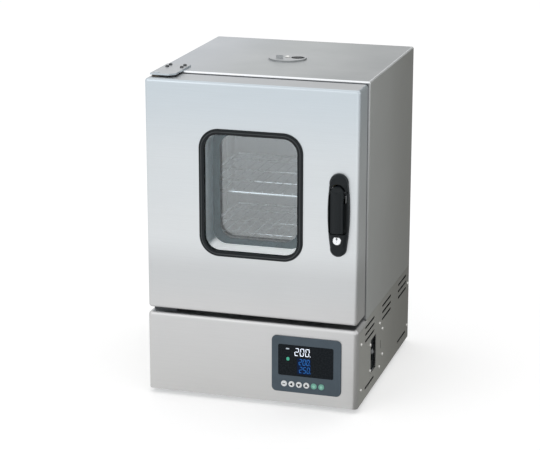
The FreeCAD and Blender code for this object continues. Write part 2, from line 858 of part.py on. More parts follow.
def terminal_block():
    x0 = gland_x - terminal_length + 2 * terminal_rail
    y0 = back_y - 2 * terminal_length / 3
    z = base_z + sheet
    rail = block((x0, x0 + terminal_length), (y0, y0 + terminal_depth), (z, z + terminal_rail))
    poles = []
    x = x0 + 4
    while x < x0 + terminal_length - terminal_pitch / 2:
        poles.append(block((x, x + terminal_pitch - 3), (y0 + 1, y0 + terminal_depth - 1),
                           (z + terminal_rail - 0.1, z + terminal_height)))
        x += terminal_pitch
    return joined([rail] + poles)


# The supply enters through a screwed gland; its bore is open
def cord_gland():
    centre = Vector(gland_x, back_y, base_z + gland_rise)
    collar = Part.makeCone(gland_radius, gland_radius - 2.5, gland_reach, centre, ALONG_Y)
    thread = rod(gland_thread - fit_gap, centre - ALONG_Y * 12, ALONG_Y, 12.5)
    nut = flat_bar(6, gland_radius + 1, centre - ALONG_Y * (sheet + gland_nut), ALONG_Y, gland_nut)
    bore = rod(gland_bore, centre - ALONG_Y * 20, ALONG_Y, 50)
    return joined([collar, thread, nut]).cut(bore)


# Screws of the sides and of the rear cover
def panel_screws():
    screws = []
    for sign in (-1, 1):
        places = front_flange_screws() + rear_edge_screws()
        if sign > 0:
            places = places + bracket_screws() + chassis_screws()
        for y, z in places:
            screws.append(screw(Vector(sign * half_width, y, z), ALONG_X * sign))
    for x, z in rear_cover_screws():
        screws.append(screw(Vector(x, back_y, z), ALONG_Y))
    return Part.makeCompound(screws)


# Heater and sensors
def heater_ends():
    z = chamber_z + heater_lift
    return [(side * (heater_pitch + leg * heater_bend), z) for side in (-1, 1) for leg in (-1, 1)]


# Two sheathed hairpins lie under the chamber's floor, with a collar at each end
def heater_elements():
    hairpins = []
    z = chamber_z + heater_lift
    front = chamber_y + heater_front
    back = chamber_back_y + heater_tail
    for side in (-1, 1):
        middle = Vector(side * heater_pitch, front, z)
        left = middle - ALONG_X * heater_bend
        right = middle + ALONG_X * heater_bend
        to_back = ALONG_Y * (back - front)
        bend = Part.Arc(left, middle - ALONG_Y * heater_bend, right).toShape()
        path = Part.Wire([Part.makeLine(left + to_back, left), bend, Part.makeLine(right, right + to_back)])
        section = polygon(8, heater_rod - fit_gap, left + to_back, ALONG_Y)
        solids = [path.makePipeShell([section], True, False)]
        for end in (left, right):
            seat = Vector(end.x, chamber_back_y - heater_collar, z)
            solids.append(flat_bar(6, heater_rod + heater_collar, seat, ALONG_Y, heater_collar))
        hairpins.append(joined(solids))
    return Part.makeCompound(hairpins)


# Places at an even pitch, as many as a length takes, centred on zero
def spaced(length, pitch):
    count = int(length / pitch) + 1
    return [(i - (count - 1) / 2) * pitch for i in range(count)]


# The slotted floor stands over the heater on its turned-down edges
def heater_cover():
    half = chamber_width / 2 - 2
    tray = sheet_box((-half, half), (chamber_y + 4, chamber_back_y - 4), (chamber_z, floor_z),
                     sheet, 2 * sheet, ["-z"])
    holes = []
    middle_y = (chamber_y + chamber_back_y) / 2
    size = (floor_slot_length, floor_slot_width)
    for x in spaced(chamber_width - 2 * floor_margin, floor_slot_pitch_x):
        for y in spaced(chamber_depth - 2 * floor_margin, floor_slot_pitch_y):
            holes.append(slot_xy(x, middle_y + y, (floor_z - 5, floor_z + 5), size))
    for x, z in heater_ends():
        gap = 2 * heater_rod
        holes.append(block((x - gap, x + gap), (chamber_back_y - 20, chamber_back_y + 1),
                           (chamber_z - 1, z + gap)))
    for sign in (-1, 1):
        edge = sorted((sign * (half + 1), sign * (half - chamber_corner)))
        holes.append(block(edge, (chamber_y, chamber_back_y), (chamber_z - 1, chamber_z + chamber_corner)))
    holes.append(block((-half - 1, half + 1), (chamber_back_y - 6 - chamber_corner, chamber_back_y),
                       (chamber_z - 1, chamber_z + chamber_corner)))
    return tray.cut(holes)


def probe_z():
    return chamber_top_z - probe_drop


def probe_places():
    return [probe_first_x, probe_first_x + probe_pitch]


def temperature_probe():
    return wall_probe(probe_places()[0], probe_radius, probe_reach)


def overheat_thermostat():
    return wall_probe(probe_places()[1], limiter_radius, limiter_reach)


# A thin probe through the chamber's back wall with a hexagonal seat inside
def wall_probe(x, radius, reach):
    tip = Vector(x, chamber_back_y - reach, probe_z())
    stem = rod(radius, tip, ALONG_Y, reach + 25)
    foot = Vector(x, chamber_back_y - probe_nut, probe_z())
    seat = flat_bar(6, radius + probe_nut, foot, ALONG_Y, probe_nut)
    return joined([stem, seat])


# Shelves and their racks
def shelf_rack(sign):
    wall = chamber_width / 2
    strip_x = sorted((sign * (wall - rack_stand_off), sign * (wall - rack_stand_off - rack_strip)))
    solids = []
    for y in (chamber_y + rack_setback, chamber_back_y - rack_setback):
        solids.append(block(strip_x, (y - rack_width / 2, y + rack_width / 2),
                            (floor_z + 10, chamber_top_z - 40)))
        for z in (floor_z + 25, chamber_top_z - 55):
            solids.append(flat_bar(8, rack_peg, Vector(sign * (wall - rack_stand_off - rack_strip), y, z),
                                   ALONG_X * sign, rack_stand_off + rack_strip))
    for height in shelf_heights.values():
        z = base_z + height - shelf_rod - seat_gap
        leg_x = sorted((sign * (wall - rack_stand_off - rack_strip + 0.1),
                        sign * (wall - rack_stand_off - 2 * rack_strip)))
        ledge_x = sorted((sign * (wall - rack_stand_off - rack_strip),
                          sign * (wall - rack_stand_off - rack_strip - runner_width)))
        length = (chamber_y + runner_setback, chamber_back_y - runner_setback)
        solids.append(block(leg_x, length, (z - runner_height, z)))
        solids.append(block(ledge_x, length, (z - rack_strip, z)))
    return joined(solids)


def shelf_half_width():
    return chamber_width / 2 - rack_stand_off - 2 * rack_strip - 2.0 - shelf_rod


# A welded wire shelf: a rod frame, cross rods, and thin wires on top
def wire_shelf(height):
    z = base_z + height
    x = shelf_half_width()
    y0 = cabinet_y + shelf_setback
    y1 = chamber_back_y - shelf_back_gap
    path = rounded_outline((0, (y0 + y1) / 2), (2 * x, y1 - y0), shelf_corner, lambda a, b: Vector(a, b, z))
    full = math.cos(math.pi / 8)
    section = polygon(8, shelf_rod / full, Vector(-x + shelf_corner, y0, z), ALONG_X)
    frame = path.makePipeShell([section], True, False)
    bars = []
    y = y0 + shelf_cross_pitch
    while y < y1 - shelf_cross_pitch / 3:
        start = Vector(-x, y, z + shelf_rod - shelf_cross_rod)
        bars.append(flat_bar(8, shelf_cross_rod / full, start, ALONG_X, 2 * x))
        y += shelf_cross_pitch
    lift = shelf_rod + shelf_wire * math.cos(math.pi / 6) - weld_sink
    for wire_x in spaced(2 * (x - shelf_rod - shelf_wire), shelf_wire_pitch):
        bars.append(flat_bar(6, shelf_wire, Vector(wire_x, y0 - 1, z + lift), ALONG_Y, y1 - y0 + 2))
    return joined([frame] + bars)


# Exhaust
def exhaust_pipe():
    outer = vent_radius + exhaust_pipe_wall
    flange = rod(exhaust_radius, Vector(0, exhaust_y, top_z), ALONG_Z, damper_thickness)
    foot = Vector(vent_offset, exhaust_y, chamber_top_z + liner)
    pipe = rod(outer, foot, ALONG_Z, chamber_drop - liner + 0.1)
    body = joined([flange, pipe])
    bore = rod(vent_radius, Vector(vent_offset, exhaust_y, chamber_top_z - 5), ALONG_Z, chamber_drop + 20)
    pivot = rod(damper_screw_radius, Vector(0, exhaust_y, top_z - 5), ALONG_Z, 20)
    return body.cut([bore, pivot])


# A disc with one off-centre hole turns over the pipe; its tab is bent up for a finger
def exhaust_damper():
    z = top_z + damper_thickness + seat_gap
    disc = rod(exhaust_radius, Vector(0, exhaust_y, z), ALONG_Z, damper_thickness)
    disc = disc.cut(rod(vent_radius, Vector(vent_offset, exhaust_y, z - 1), ALONG_Z, 5))
    tab_y = exhaust_y - tab_offset
    tab = plate_xz((-tab_offset, z + tab_height / 2), (tab_width, tab_height), 3.0,
                   (tab_y - damper_thickness, tab_y))
    body = joined([disc, tab])
    return body.cut(rod(damper_screw_radius + running_gap, Vector(0, exhaust_y, z - 5), ALONG_Z, 20))


def damper_screw():
    z = top_z + 2 * damper_thickness + 2 * seat_gap
    centre = Vector(0, exhaust_y, z)
    head = screw(centre, ALONG_Z, 4.5, 2.0, 1.0)
    shank = rod(damper_screw_radius, Vector(0, exhaust_y, top_z - 8), ALONG_Z, z - top_z + 8.2)
    nut = flat_bar(6, foot_nut, Vector(0, exhaust_y, top_z - sheet - 3), ALONG_Z, 3)
    return joined([head, shank, nut])


# Hinges
def hinge_plate_middle_x():
    return -half_width + 6 + hinge_plate_width / 2


def hinge_screw_places():
    x = hinge_plate_middle_x() + 1.0
    y = door_y + hinge_plate_front + hinge_plate_length - 19.0
    return [(x + sx * hinge_screw_pitch_x / 2, y + sy * hinge_screw_pitch_y / 2)
            for sx in (-1, 1) for sy in (-1, 1)]


def upper_hinge_plate():
    y0 = door_y + hinge_plate_front
    y1 = y0 + hinge_plate_length
    x0 = hinge_plate_middle_x() - hinge_plate_width / 2
    x1 = x0 + hinge_plate_width
    c = hinge_plate_chamfer
    z = top_z
    corners = [Vector(x0, y0, z), Vector(x1 - c, y0, z), Vector(x1, y0 + c, z),
               Vector(x1, y1, z), Vector(x0, y1, z), Vector(x0, y0, z)]
    plate = Part.Face(Part.makePolygon(corners)).extrude(ALONG_Z * hinge_plate_thickness)
    cuts = [screw_hole(Vector(x, y, z), ALONG_Z) for x, y in hinge_screw_places()]
    cuts.append(rod(hinge_pin_radius, Vector(hinge_x, hinge_y, z - 1), ALONG_Z, 10))
    return plate.cut(cuts)


def lower_hinge_plate():
    y0 = door_y + hinge_plate_front
    y1 = cabinet_y - 1.0
    x0 = hinge_plate_middle_x() - hinge_plate_width / 2
    x1 = x0 + hinge_plate_width
    plate = plate_xy(((x0 + x1) / 2, (y0 + y1) / 2), (x1 - x0, y1 - y0), shell_bend,
                     (seam_z, seam_z + hinge_plate_thickness))
    cuts = [screw_hole(Vector(x, y, seam_z), ALONG_Z) for x, y in lower_screw_places()]
    cuts.append(rod(hinge_pin_radius, Vector(hinge_x, hinge_y, seam_z - 1), ALONG_Z, 10))
    return plate.cut(cuts)


def lower_screw_places():
    x = hinge_plate_middle_x() + 13.0
    return [(x, hinge_y), (x, hinge_y + 16.0)]


# The upper pin hangs from its plate; the lower pin's collar carries the door
def hinge_pins():
    upper = rod(hinge_pin_radius, Vector(hinge_x, hinge_y, door_z1 - hinge_pin_depth), ALONG_Z,
                hinge_pin_depth + door_top_drop + hinge_plate_thickness)
    head_seat = Vector(hinge_x, hinge_y, top_z + hinge_plate_thickness)
    head = screw(head_seat, ALONG_Z, hinge_pin_radius + 1.5, 1.2, 0.5)
    foot = Vector(hinge_x, hinge_y, seam_z)
    lower = rod(hinge_pin_radius, foot, ALONG_Z, door_bottom_gap + hinge_pin_depth)
    collar_top = door_z0 - bush_flange - seat_gap
    collar_z = seam_z + hinge_plate_thickness
    collar = rod(hinge_collar_radius, Vector(hinge_x, hinge_y, collar_z), ALONG_Z, collar_top - collar_z)
    return Part.makeCompound([joined([upper, head]), joined([lower, collar])])


def hinge_screws():
    screws = []
    for x, y in hinge_screw_places():
        seat = Vector(x, y, top_z + hinge_plate_thickness)
        screws.append(screw(seat, ALONG_Z, hinge_screw_head / 2, 2.6, 6.0))
    for x, y in lower_screw_places():
        seat = Vector(x, y, seam_z + hinge_plate_thickness)
        screws.append(screw(seat, ALONG_Z, hinge_screw_head / 2, 1.6, 6.0))
    return Part.makeCompound(screws)


# Door
def door_outer_panel():
    half = door_width / 2
    pan = sheet_box((-half, half), (door_y, door_back_y), (door_z0, door_z1), sheet, door_bend, ["+y"])
    hole = plate_xz((0, window_z), (window_width + 2 * gasket_lip - 2 * gasket_grip,
                                    window_height + 2 * gasket_lip - 2 * gasket_grip),
                    window_corner + gasket_lip - gasket_grip, (door_y - 5, door_y + 5))
    cuts = [hole]
    for z in (door_z0 - 5, door_z1 - 5):
        cuts.append(rod(bush_radius, Vector(hinge_x, hinge_y, z), ALONG_Z, 10))
    half_w = lever_width / 2 + 1
    cuts.append(block((handle_x - half_w, handle_x + half_w), (door_y - 5, door_y + 5),
                      (pivot_z - tail_drop, pivot_z + lever_barrel + 1)))
    cuts.append(rod(key_radius + 0.5, Vector(handle_x, door_y - 5, handle_z - key_drop), ALONG_Y, 10))
    for z in handle_stud_heights():
        cuts.append(flat_bar(8, handle_stud + seat_gap, Vector(handle_x, door_y - 5, z), ALONG_Y, 10))
    return pan.cut(cuts)


def handle_stud_heights():
    reach = handle_length / 2 - handle_stud_inset
    return [handle_z + reach, handle_z - reach]


# The inner panel is pressed out towards the chamber round the inner pane
def door_inner_panel():
    half = door_width / 2 - sheet - seat_gap
    z0 = door_z0 + sheet + seat_gap
    z1 = door_z1 - sheet - seat_gap
    pan = sheet_box((-half, half), (door_back_y - 12, door_back_y), (z0, z1), sheet,
                    door_bend - sheet - seat_gap, ["-y"])
    hole = plate_xz((0, window_z), inner_opening(), frame_corner, (door_back_y - 20, door_back_y + 5))
    cuts = [hole]
    cuts.append(rod(bolt_radius + running_gap, Vector(bolt_x, door_back_y - 5, latch_z), ALONG_Y, 10))
    return pan.cut(cuts)


def inner_opening():
    return (window_width - 2 * frame_margin, window_height - 2 * frame_margin + 6.0)


# The tunnel lines the window between the two panes
def window_tunnel():
    outer = plate_xz((0, window_z), (window_width + 2 * tunnel_wall, window_height + 2 * tunnel_wall),
                     window_corner + tunnel_wall, tunnel_limits())
    inner = plate_xz((0, window_z), (window_width, window_height), window_corner,
                     (tunnel_limits()[0] - 1, tunnel_limits()[1] + 1))
    return outer.cut(inner)


def tunnel_limits():
    return (door_y + gasket_back(), inner_pane_y() - sheet)


def gasket_back():
    return sheet + gasket_proud + pane_thickness


def inner_pane_y():
    return door_back_y - sheet - inner_pane_thickness


def inner_glass_frame():
    y = inner_pane_y()
    reach = 2 * tunnel_wall + 2 * pane_lap
    ring = plate_xz((0, window_z), (window_width + reach, window_height + reach),
                    window_corner + pane_lap, (y - sheet, y))
    return ring.cut(plate_xz((0, window_z), inner_opening(), frame_corner, (y - 5, y + 5)))


def outer_glass():
    y = door_y + sheet
    return plate_xz((0, window_z), (window_width + 2 * pane_seat, window_height + 2 * pane_seat),
                    window_corner + pane_seat, (y, y + pane_thickness))


def inner_glass():
    opening = inner_opening()
    y = inner_pane_y()
    lap = 2 * pane_lap + 4
    return plate_xz((0, window_z), (opening[0] + lap, opening[1] + lap), frame_corner + pane_lap,
                    (y + 0.05, y + inner_pane_thickness - 0.05))


# The rubber gasket grips the panel's edge and holds the outer pane
def window_gasket():
    outer = (window_width + 2 * gasket_lip, window_height + 2 * gasket_lip)
    neck = (outer[0] - 2 * gasket_grip - 0.2, outer[1] - 2 * gasket_grip - 0.2)
    lip = plate_xz((0, window_z), outer, window_corner + gasket_lip, (door_y - gasket_proud, door_y))
    front = edges_where(lip, lambda m: abs(m.y - (door_y - gasket_proud)) < 1e-6)
    lip = lip.makeFillet(2.4, front)
    stem = plate_xz((0, window_z), neck, window_corner + gasket_lip - gasket_grip - 0.1,
                    (door_y - 0.1, door_y + sheet + 0.1))
    back = plate_xz((0, window_z), outer, window_corner + gasket_lip,
                    (door_y + sheet, door_y + gasket_back()))
    sight = plate_xz((0, window_z), (window_width, window_height), window_corner,
                     (door_y - 10, door_y + gasket_back() + 1))
    groove = plate_xz((0, window_z), (window_width + 2 * pane_seat, window_height + 2 * pane_seat),
                      window_corner + pane_seat, (door_y + sheet, door_y + sheet + pane_thickness))
    return joined([lip, stem, back]).cut([sight, groove])


# The hollow silicone seal runs round the chamber's mouth on the door's inner panel
def door_seal():
    middle = (0, (floor_z + chamber_top_z) / 2)
    y0 = door_back_y
    y1 = cabinet_y + sheet - seat_gap
    ring = plate_xz(middle, seal_size(seal_width), seal_corner + seal_width, (y0, y1))
    crest = edges_where(ring, lambda m: abs(m.y - y1) < 1e-6)
    ring = ring.makeFillet(seal_crest, crest)
    hole = plate_xz(middle, seal_size(0), seal_corner, (y0 - 1, y1 + 1))
    tube = plate_xz(middle, seal_size(seal_width - seal_wall), seal_corner + seal_width - seal_wall,
                    (y0 + seal_wall, y1 - seal_wall))
    tube = tube.cut(plate_xz(middle, seal_size(seal_wall), seal_corner + seal_wall, (y0, y1)))
    return ring.cut([hole, tube])


# Width and height of a ring round the chamber's mouth, a distance outside the seal's inner edge
def seal_size(distance):
    reach = 2 * (seal_margin + distance)
    return (chamber_width + reach, chamber_top_z - floor_z + reach)


def door_insulation():
    half = door_width / 2 - sheet - 2.0
    back = door_back_y - sheet - 0.5
    wool = block((-half + 2, half - 2), (door_y + gasket_back() + 0.5, back),
                 (door_z0 + sheet + 4, door_z1 - sheet - 4))
    reach = 2 * tunnel_wall + 2 * pane_lap + 1
    window = plate_xz((0, window_z), (window_width + reach, window_height + reach),
                      window_corner + pane_lap, (door_y, door_back_y))
    cuts = [window]
    for z in (door_z0, door_z1 - bush_pocket):
        cuts.append(block((hinge_x - bush_pocket / 2, hinge_x + bush_pocket / 2), (door_y, door_back_y),
                          (z, z + bush_pocket)))
    inner_side = handle_x - lever_width / 2 - 1
    key_z = handle_z - key_drop
    cuts.append(block((inner_side, half), (door_y, door_back_y), (latch_z - bush_pocket + 2, pivot_z + 14)))
    cuts.append(block((inner_side, half), (door_y, door_back_y), (key_z - 18, key_z + 18)))
    for z in handle_stud_heights():
        cuts.append(flat_bar(8, 3.5 * handle_stud, Vector(handle_x, door_y, z), ALONG_Y, 14))
    return wool.cut(cuts)


def hinge_bushes():
    bushes = []
    for z, up in ((door_z0, -1), (door_z1, 1)):
        sleeve_z = z - hinge_pin_depth - 2 if up > 0 else z
        sleeve = rod(bush_radius, Vector(hinge_x, hinge_y, sleeve_z), ALONG_Z, hinge_pin_depth + 2)
        flange_z = z if up > 0 else z - bush_flange
        flange = rod(bush_flange_radius, Vector(hinge_x, hinge_y, flange_z), ALONG_Z, bush_flange)
        bore = rod(hinge_pin_radius + running_gap, Vector(hinge_x, hinge_y, z - 30), ALONG_Z, 60)
        bushes.append(joined([sleeve, flange]).cut(bore))
    return Part.makeCompound(bushes)


# Handle
# Outline of the handle: full at the middle, domed at the top and narrower at the foot
def handle_outline(y, inset):
    w = handle_width / 2 - inset
    h = handle_length / 2 - inset
    top_w = w - 3.0
    low_w = w - 5.0
    top_z0 = h - 19.0
    low_z0 = -h + 16.0

    def at(x, z):
        return Vector(handle_x + x, y, handle_z + z)
    edges = [
        Part.Arc(at(-low_w, low_z0), at(-w, 0), at(-top_w, top_z0)).toShape(),
        Part.Arc(at(-top_w, top_z0), at(0, h), at(top_w, top_z0)).toShape(),
        Part.Arc(at(top_w, top_z0), at(w, 0), at(low_w, low_z0)).toShape(),
        Part.Arc(at(low_w, low_z0), at(0, -h), at(-low_w, low_z0)).toShape(),
    ]
    return Part.Wire(edges)


# The moulded base: lofted sides, a finger pocket and a domed top over the lever's barrel
def handle_base():
    middle = handle_thickness * 0.55
    foot = handle_outline(door_y, 0.0)
    waist = handle_outline(door_y - middle, 1.0)
    face = handle_outline(door_y - handle_thickness, 5.0)
    body = joined([Part.makeLoft([foot, waist], True), Part.makeLoft([waist, face], True)])
    pocket_top = handle_z + lever_top - 4
    pocket_low = handle_z + lever_bottom - lever_slot_gap
    over = handle_thickness + 5
    pocket = plate_xz((handle_x, (pocket_top + pocket_low) / 2), (pocket_width, pocket_top - pocket_low),
                      pocket_corner, (door_y - over, door_y - pocket_floor))
    arch_radius = lever_width / 2 + lever_slot_gap
    arch = rod(arch_radius, Vector(handle_x, door_y - over, handle_z + lever_top), ALONG_Y, over + 5)
    arch_low = block((handle_x - arch_radius, handle_x + arch_radius),
                     (door_y - over, door_y + 5), (pivot_z - lever_width, handle_z + lever_top))
    pin_hole = rod(lever_pin_radius, Vector(handle_x - 40, pivot_y, pivot_z), ALONG_X, 80)
    key_hole = rod(key_radius + running_gap, Vector(handle_x, door_y - 30, handle_z - key_drop), ALONG_Y, 60)
    body = body.cut([pocket, arch, arch_low, pin_hole, key_hole])
    ring_start = Vector(handle_x, door_y - handle_thickness, handle_z - key_drop)
    ring = rod(key_radius + 2.2, ring_start, ALONG_Y, 3.0)
    ring = ring.cut(key_hole)
    heights = handle_stud_heights()
    studs = [flat_bar(8, handle_stud, Vector(handle_x, door_y - 1, z), ALONG_Y, 8.0) for z in heights]
    nuts = [flat_bar(6, 2 * handle_stud, Vector(handle_x, door_y + sheet, z), ALONG_Y, 3.0) for z in heights]
    return joined([body, ring] + studs + nuts)


# The pull lever: crowned bar, barrel round its pin, and a tail that reaches into the door
def handle_lever():
    front = door_y - handle_reach
    back = front + lever_thickness
    top = handle_z + lever_top
    low = handle_z + lever_bottom
    half = lever_width / 2
    straight = block((handle_x - half, handle_x + half), (front, pivot_y + lever_barrel), (low, top))
    round_top = rod(half, Vector(handle_x, front, top), ALONG_Y, pivot_y + lever_barrel - front)
    outline = joined([straight, round_top])
    crown_radius = 16.0
    crown = rod(crown_radius, Vector(handle_x, front + crown_radius, low - 10), ALONG_Z, top - low + 60)
    deep = block((handle_x - half, handle_x + half), (front + 2, pivot_y + lever_barrel + 5),
                 (low - 10, top + 50))
    outline = outline.common(crown.fuse(deep).removeSplitter())
    barrel = rod(lever_barrel, Vector(handle_x - half, pivot_y, pivot_z), ALONG_X, lever_width)
    head_zone = outline.common(barrel)
    bar_zone = outline.common(block((handle_x - half - 1, handle_x + half + 1), (front - 1, back),
                                    (low - 1, pivot_z)))
    bar_edges = edges_where(bar_zone, lambda m: m.z < low + 0.5 and m.y < front + 6)
    bar_zone = bar_zone.makeFillet(2.0, bar_edges) if bar_edges else bar_zone
    arm = tail_arm()
    lever = joined([head_zone, bar_zone, arm])
    bore = rod(lever_pin_radius + running_gap, Vector(handle_x - 30, pivot_y, pivot_z), ALONG_X, 60)
    return lever.cut(bore)


def tail_arm():
    reach = math.hypot(tail_reach, tail_drop)
    angle = math.degrees(math.atan2(tail_drop, tail_reach))
    arm = block((handle_x - tail_width / 2, handle_x + tail_width / 2), (pivot_y, pivot_y + reach),
                (pivot_z - tail_nose, pivot_z + tail_nose))
    arm.rotate(Vector(handle_x, pivot_y, pivot_z), ALONG_X, -angle)
    nose = rod(tail_nose, Vector(handle_x - tail_cross / 2, nose_y, nose_z), ALONG_X, tail_cross)
    return arm.fuse(nose)


def lever_pin():
    reach = handle_width / 2 - 5.5
    return rod(lever_pin_radius, Vector(handle_x - reach, pivot_y, pivot_z), ALONG_X, 2 * reach)


# The lock's plug turns in the handle; a short cam turns behind the door's sheet
def key_cylinder():
    front = door_y - handle_thickness - key_proud
    z = handle_z - key_drop
    bevel = 1.0
    rim = Part.makeCone(key_radius - bevel, key_radius, bevel, Vector(handle_x, front, z), ALONG_Y)
    plug = rod(key_radius, Vector(handle_x, front + bevel, z), ALONG_Y, door_y + key_depth - front - bevel)
    cam = slot_xz(handle_x, z + cam_length / 4, (door_y + key_depth - 2.5, door_y + key_depth),
                  (cam_width, cam_length))
    keyway = block((handle_x - 0.8, handle_x + 0.8), (front - 1, front + 4), (z - 3.75, z + 3.75))
    return joined([rim, plug, cam]).cut(keyway)


# Catch
def catch_case():
    half = catch_case_size / 2
    y1 = door_back_y - sheet
    case = block((bolt_x - half, bolt_x + half - 2), (y1 - catch_case_depth, y1),
                 (latch_z - half, latch_z + half))
    return case.cut(rod(bolt_radius + running_gap, Vector(bolt_x, y1 - 50, latch_z), ALONG_Y, 100))


# The bolt's round nose enters the cabinet's frame; its cross plate is drawn by the lever's tail
def latch_bolt():
    plate_front = nose_y - tail_nose - bolt_gap - bolt_plate
    tip = frame_y + bolt_entry
    plate = block((handle_x - tail_cross / 2 - 1, bolt_x + bolt_radius),
                  (plate_front, plate_front + bolt_plate), (latch_z - 12, latch_z + 12))
    fork = block((handle_x - tail_width / 2 - travel_gap, handle_x + tail_width / 2 + travel_gap),
                 (plate_front - 1, plate_front + bolt_plate + 1), (nose_z - tail_swing_drop, latch_z + 20))
    plate = plate.cut(fork)
    root = plate_front + 0.5
    shaft = rod(bolt_radius, Vector(bolt_x, root, latch_z), ALONG_Y, tip - root - bolt_nose)
    nose = Part.makeCone(bolt_radius, bolt_radius - bolt_nose, bolt_nose,
                         Vector(bolt_x, tip - bolt_nose, latch_z), ALONG_Y)
    return joined([plate, shaft, nose])


# A cup behind the frame receives the bolt
def strike_cup():
    inner = bolt_radius + bolt_play
    outer = inner + strike_wall
    y0 = frame_y + sheet
    cup = rod(outer, Vector(bolt_x, y0, latch_z), ALONG_Y, bolt_entry + 2 * strike_wall)
    ears = slot_xz(bolt_x, latch_z, (y0, y0 + strike_wall), (2 * outer, strike_length))
    hollow = rod(inner, Vector(bolt_x, y0 - 1, latch_z), ALONG_Y, bolt_entry + 2.5)
    return joined([cup, ears]).cut(hollow)


def build():
    nodes = {
        "outer_shell": outer_shell(),
        "front_frame": front_frame(),
        "inner_chamber": inner_chamber(),
        "chamber_insulation": chamber_insulation(),
        "body_floor": body_floor(),
        "rear_cover": rear_cover(),
        "base_front_panel": base_front_panel(),
        "base_left_panel": base_side_panel(-1),
        "base_right_panel": base_side_panel(1),
        "base_rear_panel": base_rear_panel(),
        "base_bottom_plate": base_bottom_plate(),
        "rubber_feet": rubber_feet(),
        "control_bezel": control_bezel(),
        "display_window": display_window(),
        "control_board": control_board(),
        "circuit_breaker": circuit_breaker(),
        "breaker_toggle": breaker_toggle(),
        "breaker_bracket": breaker_bracket(),
        "heater_relay": heater_relay(),
        "terminal_block": terminal_block(),
        "cord_gland": cord_gland(),
        "panel_screws": panel_screws(),
        "heater_elements": heater_elements(),
        "heater_cover": heater_cover(),
        "temperature_probe": temperature_probe(),
        "overheat_thermostat": overheat_thermostat(),
        "left_shelf_rack": shelf_rack(-1),
        "right_shelf_rack": shelf_rack(1),
        "exhaust_pipe": exhaust_pipe(),
        "exhaust_damper": exhaust_damper(),
        "damper_screw": damper_screw(),
        "upper_hinge_plate": upper_hinge_plate(),
        "lower_hinge_plate": lower_hinge_plate(),
        "hinge_pins": hinge_pins(),
        "hinge_screws": hinge_screws(),
        "strike_cup": strike_cup(),
        "door_outer_panel": door_outer_panel(),
        "door_inner_panel": door_inner_panel(),
        "door_insulation": door_insulation(),
        "window_gasket": window_gasket(),
        "outer_glass": outer_glass(),
        "inner_glass": inner_glass(),
        "window_tunnel": window_tunnel(),
        "inner_glass_frame": inner_glass_frame(),
        "door_seal": door_seal(),
        "hinge_bushes": hinge_bushes(),
        "handle_base": handle_base(),
        "handle_lever": handle_lever(),
        "lever_pin": lever_pin(),
        "key_cylinder": key_cylinder(),
        "catch_case": catch_case(),
        "latch_bolt": latch_bolt(),
    }
    for name, height in shelf_heights.items():
        nodes[name] = wire_shelf(height)
    for name, x in zip(button_names, button_places()):
        nodes[name] = push_button(x)
    return nodes


for name, shape in build().items():
    shape.exportStep("parts/" + name + ".step")
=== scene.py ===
# %% [markdown]
# # A windowed drying oven, dressed for its portrait
#
# The frame that this script loads is the oven as it is built: every sheet, hinge, key and shelf
# already has its shape and its place. What is left to do here is the finish of each surface, and
# the small things that a maker adds last: lit figures, marks on the keys, cross recesses in the
# screws and round wires. Each step first says what the piece is on the real oven, and then why it
# is made the way it is.

import json
import math

import bmesh
import bpy
from mathutils import Matrix, Vector


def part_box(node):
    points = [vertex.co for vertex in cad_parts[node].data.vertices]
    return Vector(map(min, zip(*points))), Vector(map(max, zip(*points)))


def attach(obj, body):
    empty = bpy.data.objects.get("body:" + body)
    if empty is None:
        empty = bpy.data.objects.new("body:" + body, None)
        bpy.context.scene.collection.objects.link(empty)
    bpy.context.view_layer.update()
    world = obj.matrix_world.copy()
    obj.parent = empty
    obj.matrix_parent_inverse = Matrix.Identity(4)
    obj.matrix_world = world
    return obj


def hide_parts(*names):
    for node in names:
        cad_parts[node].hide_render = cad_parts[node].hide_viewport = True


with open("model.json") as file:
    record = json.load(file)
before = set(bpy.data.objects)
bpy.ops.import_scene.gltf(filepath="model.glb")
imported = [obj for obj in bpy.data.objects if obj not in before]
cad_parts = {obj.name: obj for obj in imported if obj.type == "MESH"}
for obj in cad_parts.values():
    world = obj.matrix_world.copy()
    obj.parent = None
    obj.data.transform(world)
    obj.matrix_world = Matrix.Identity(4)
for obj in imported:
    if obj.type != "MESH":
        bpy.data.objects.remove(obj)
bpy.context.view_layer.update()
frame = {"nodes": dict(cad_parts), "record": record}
oven = frame["nodes"]
bpy.ops.object.select_all(action="DESELECT")

# %% [markdown]
# ## Camera
# The photograph was taken from a little right of the door and from above, through a long lens, so
# upright edges stay almost upright. A camera on a long lens, far away, gives the same small
# convergence. Its place and its two angles are given, and no tracking constraint is used, because
# two angles and a position are all that it needs.

# %% Camera
LENS_MM = 123.4
SENSOR_MM = 36.0
CAMERA_PLACE = (0.9492, -3.2509, 1.2563)
CAMERA_TILT = 73.99
CAMERA_TURN = 16.70

bpy.ops.object.camera_add(location=CAMERA_PLACE,
                          rotation=(math.radians(CAMERA_TILT), 0, math.radians(CAMERA_TURN)))
camera = bpy.context.object
camera.name = "portrait_camera"
camera.data.lens = LENS_MM
camera.data.sensor_width = SENSOR_MM
bpy.context.scene.camera = camera
print("camera", CAMERA_PLACE, "lens", LENS_MM)

# %% [markdown]
# ## Floor and light
# The oven stands on a white sweep. A plane does for the floor: it gives off a part of a white
# sheet's brightness by itself and takes the rest from the lamps, so it reads as white and still
# keeps the soft shadow under the base. The world is pure white to the eye, to mirrors and through
# glass, and a little dimmer as a light, so it never washes the steel out.

# %% Floor
FLOOR_SIZE = 14.0
FLOOR_COLOUR = (0.82, 0.82, 0.82, 1)
FLOOR_GLOW = 0.36


def bare_tree(owner):
    """The node tree of a material or a world, emptied of the nodes that it starts with."""
    owner.use_nodes = True
    owner.node_tree.nodes.clear()
    return owner.node_tree


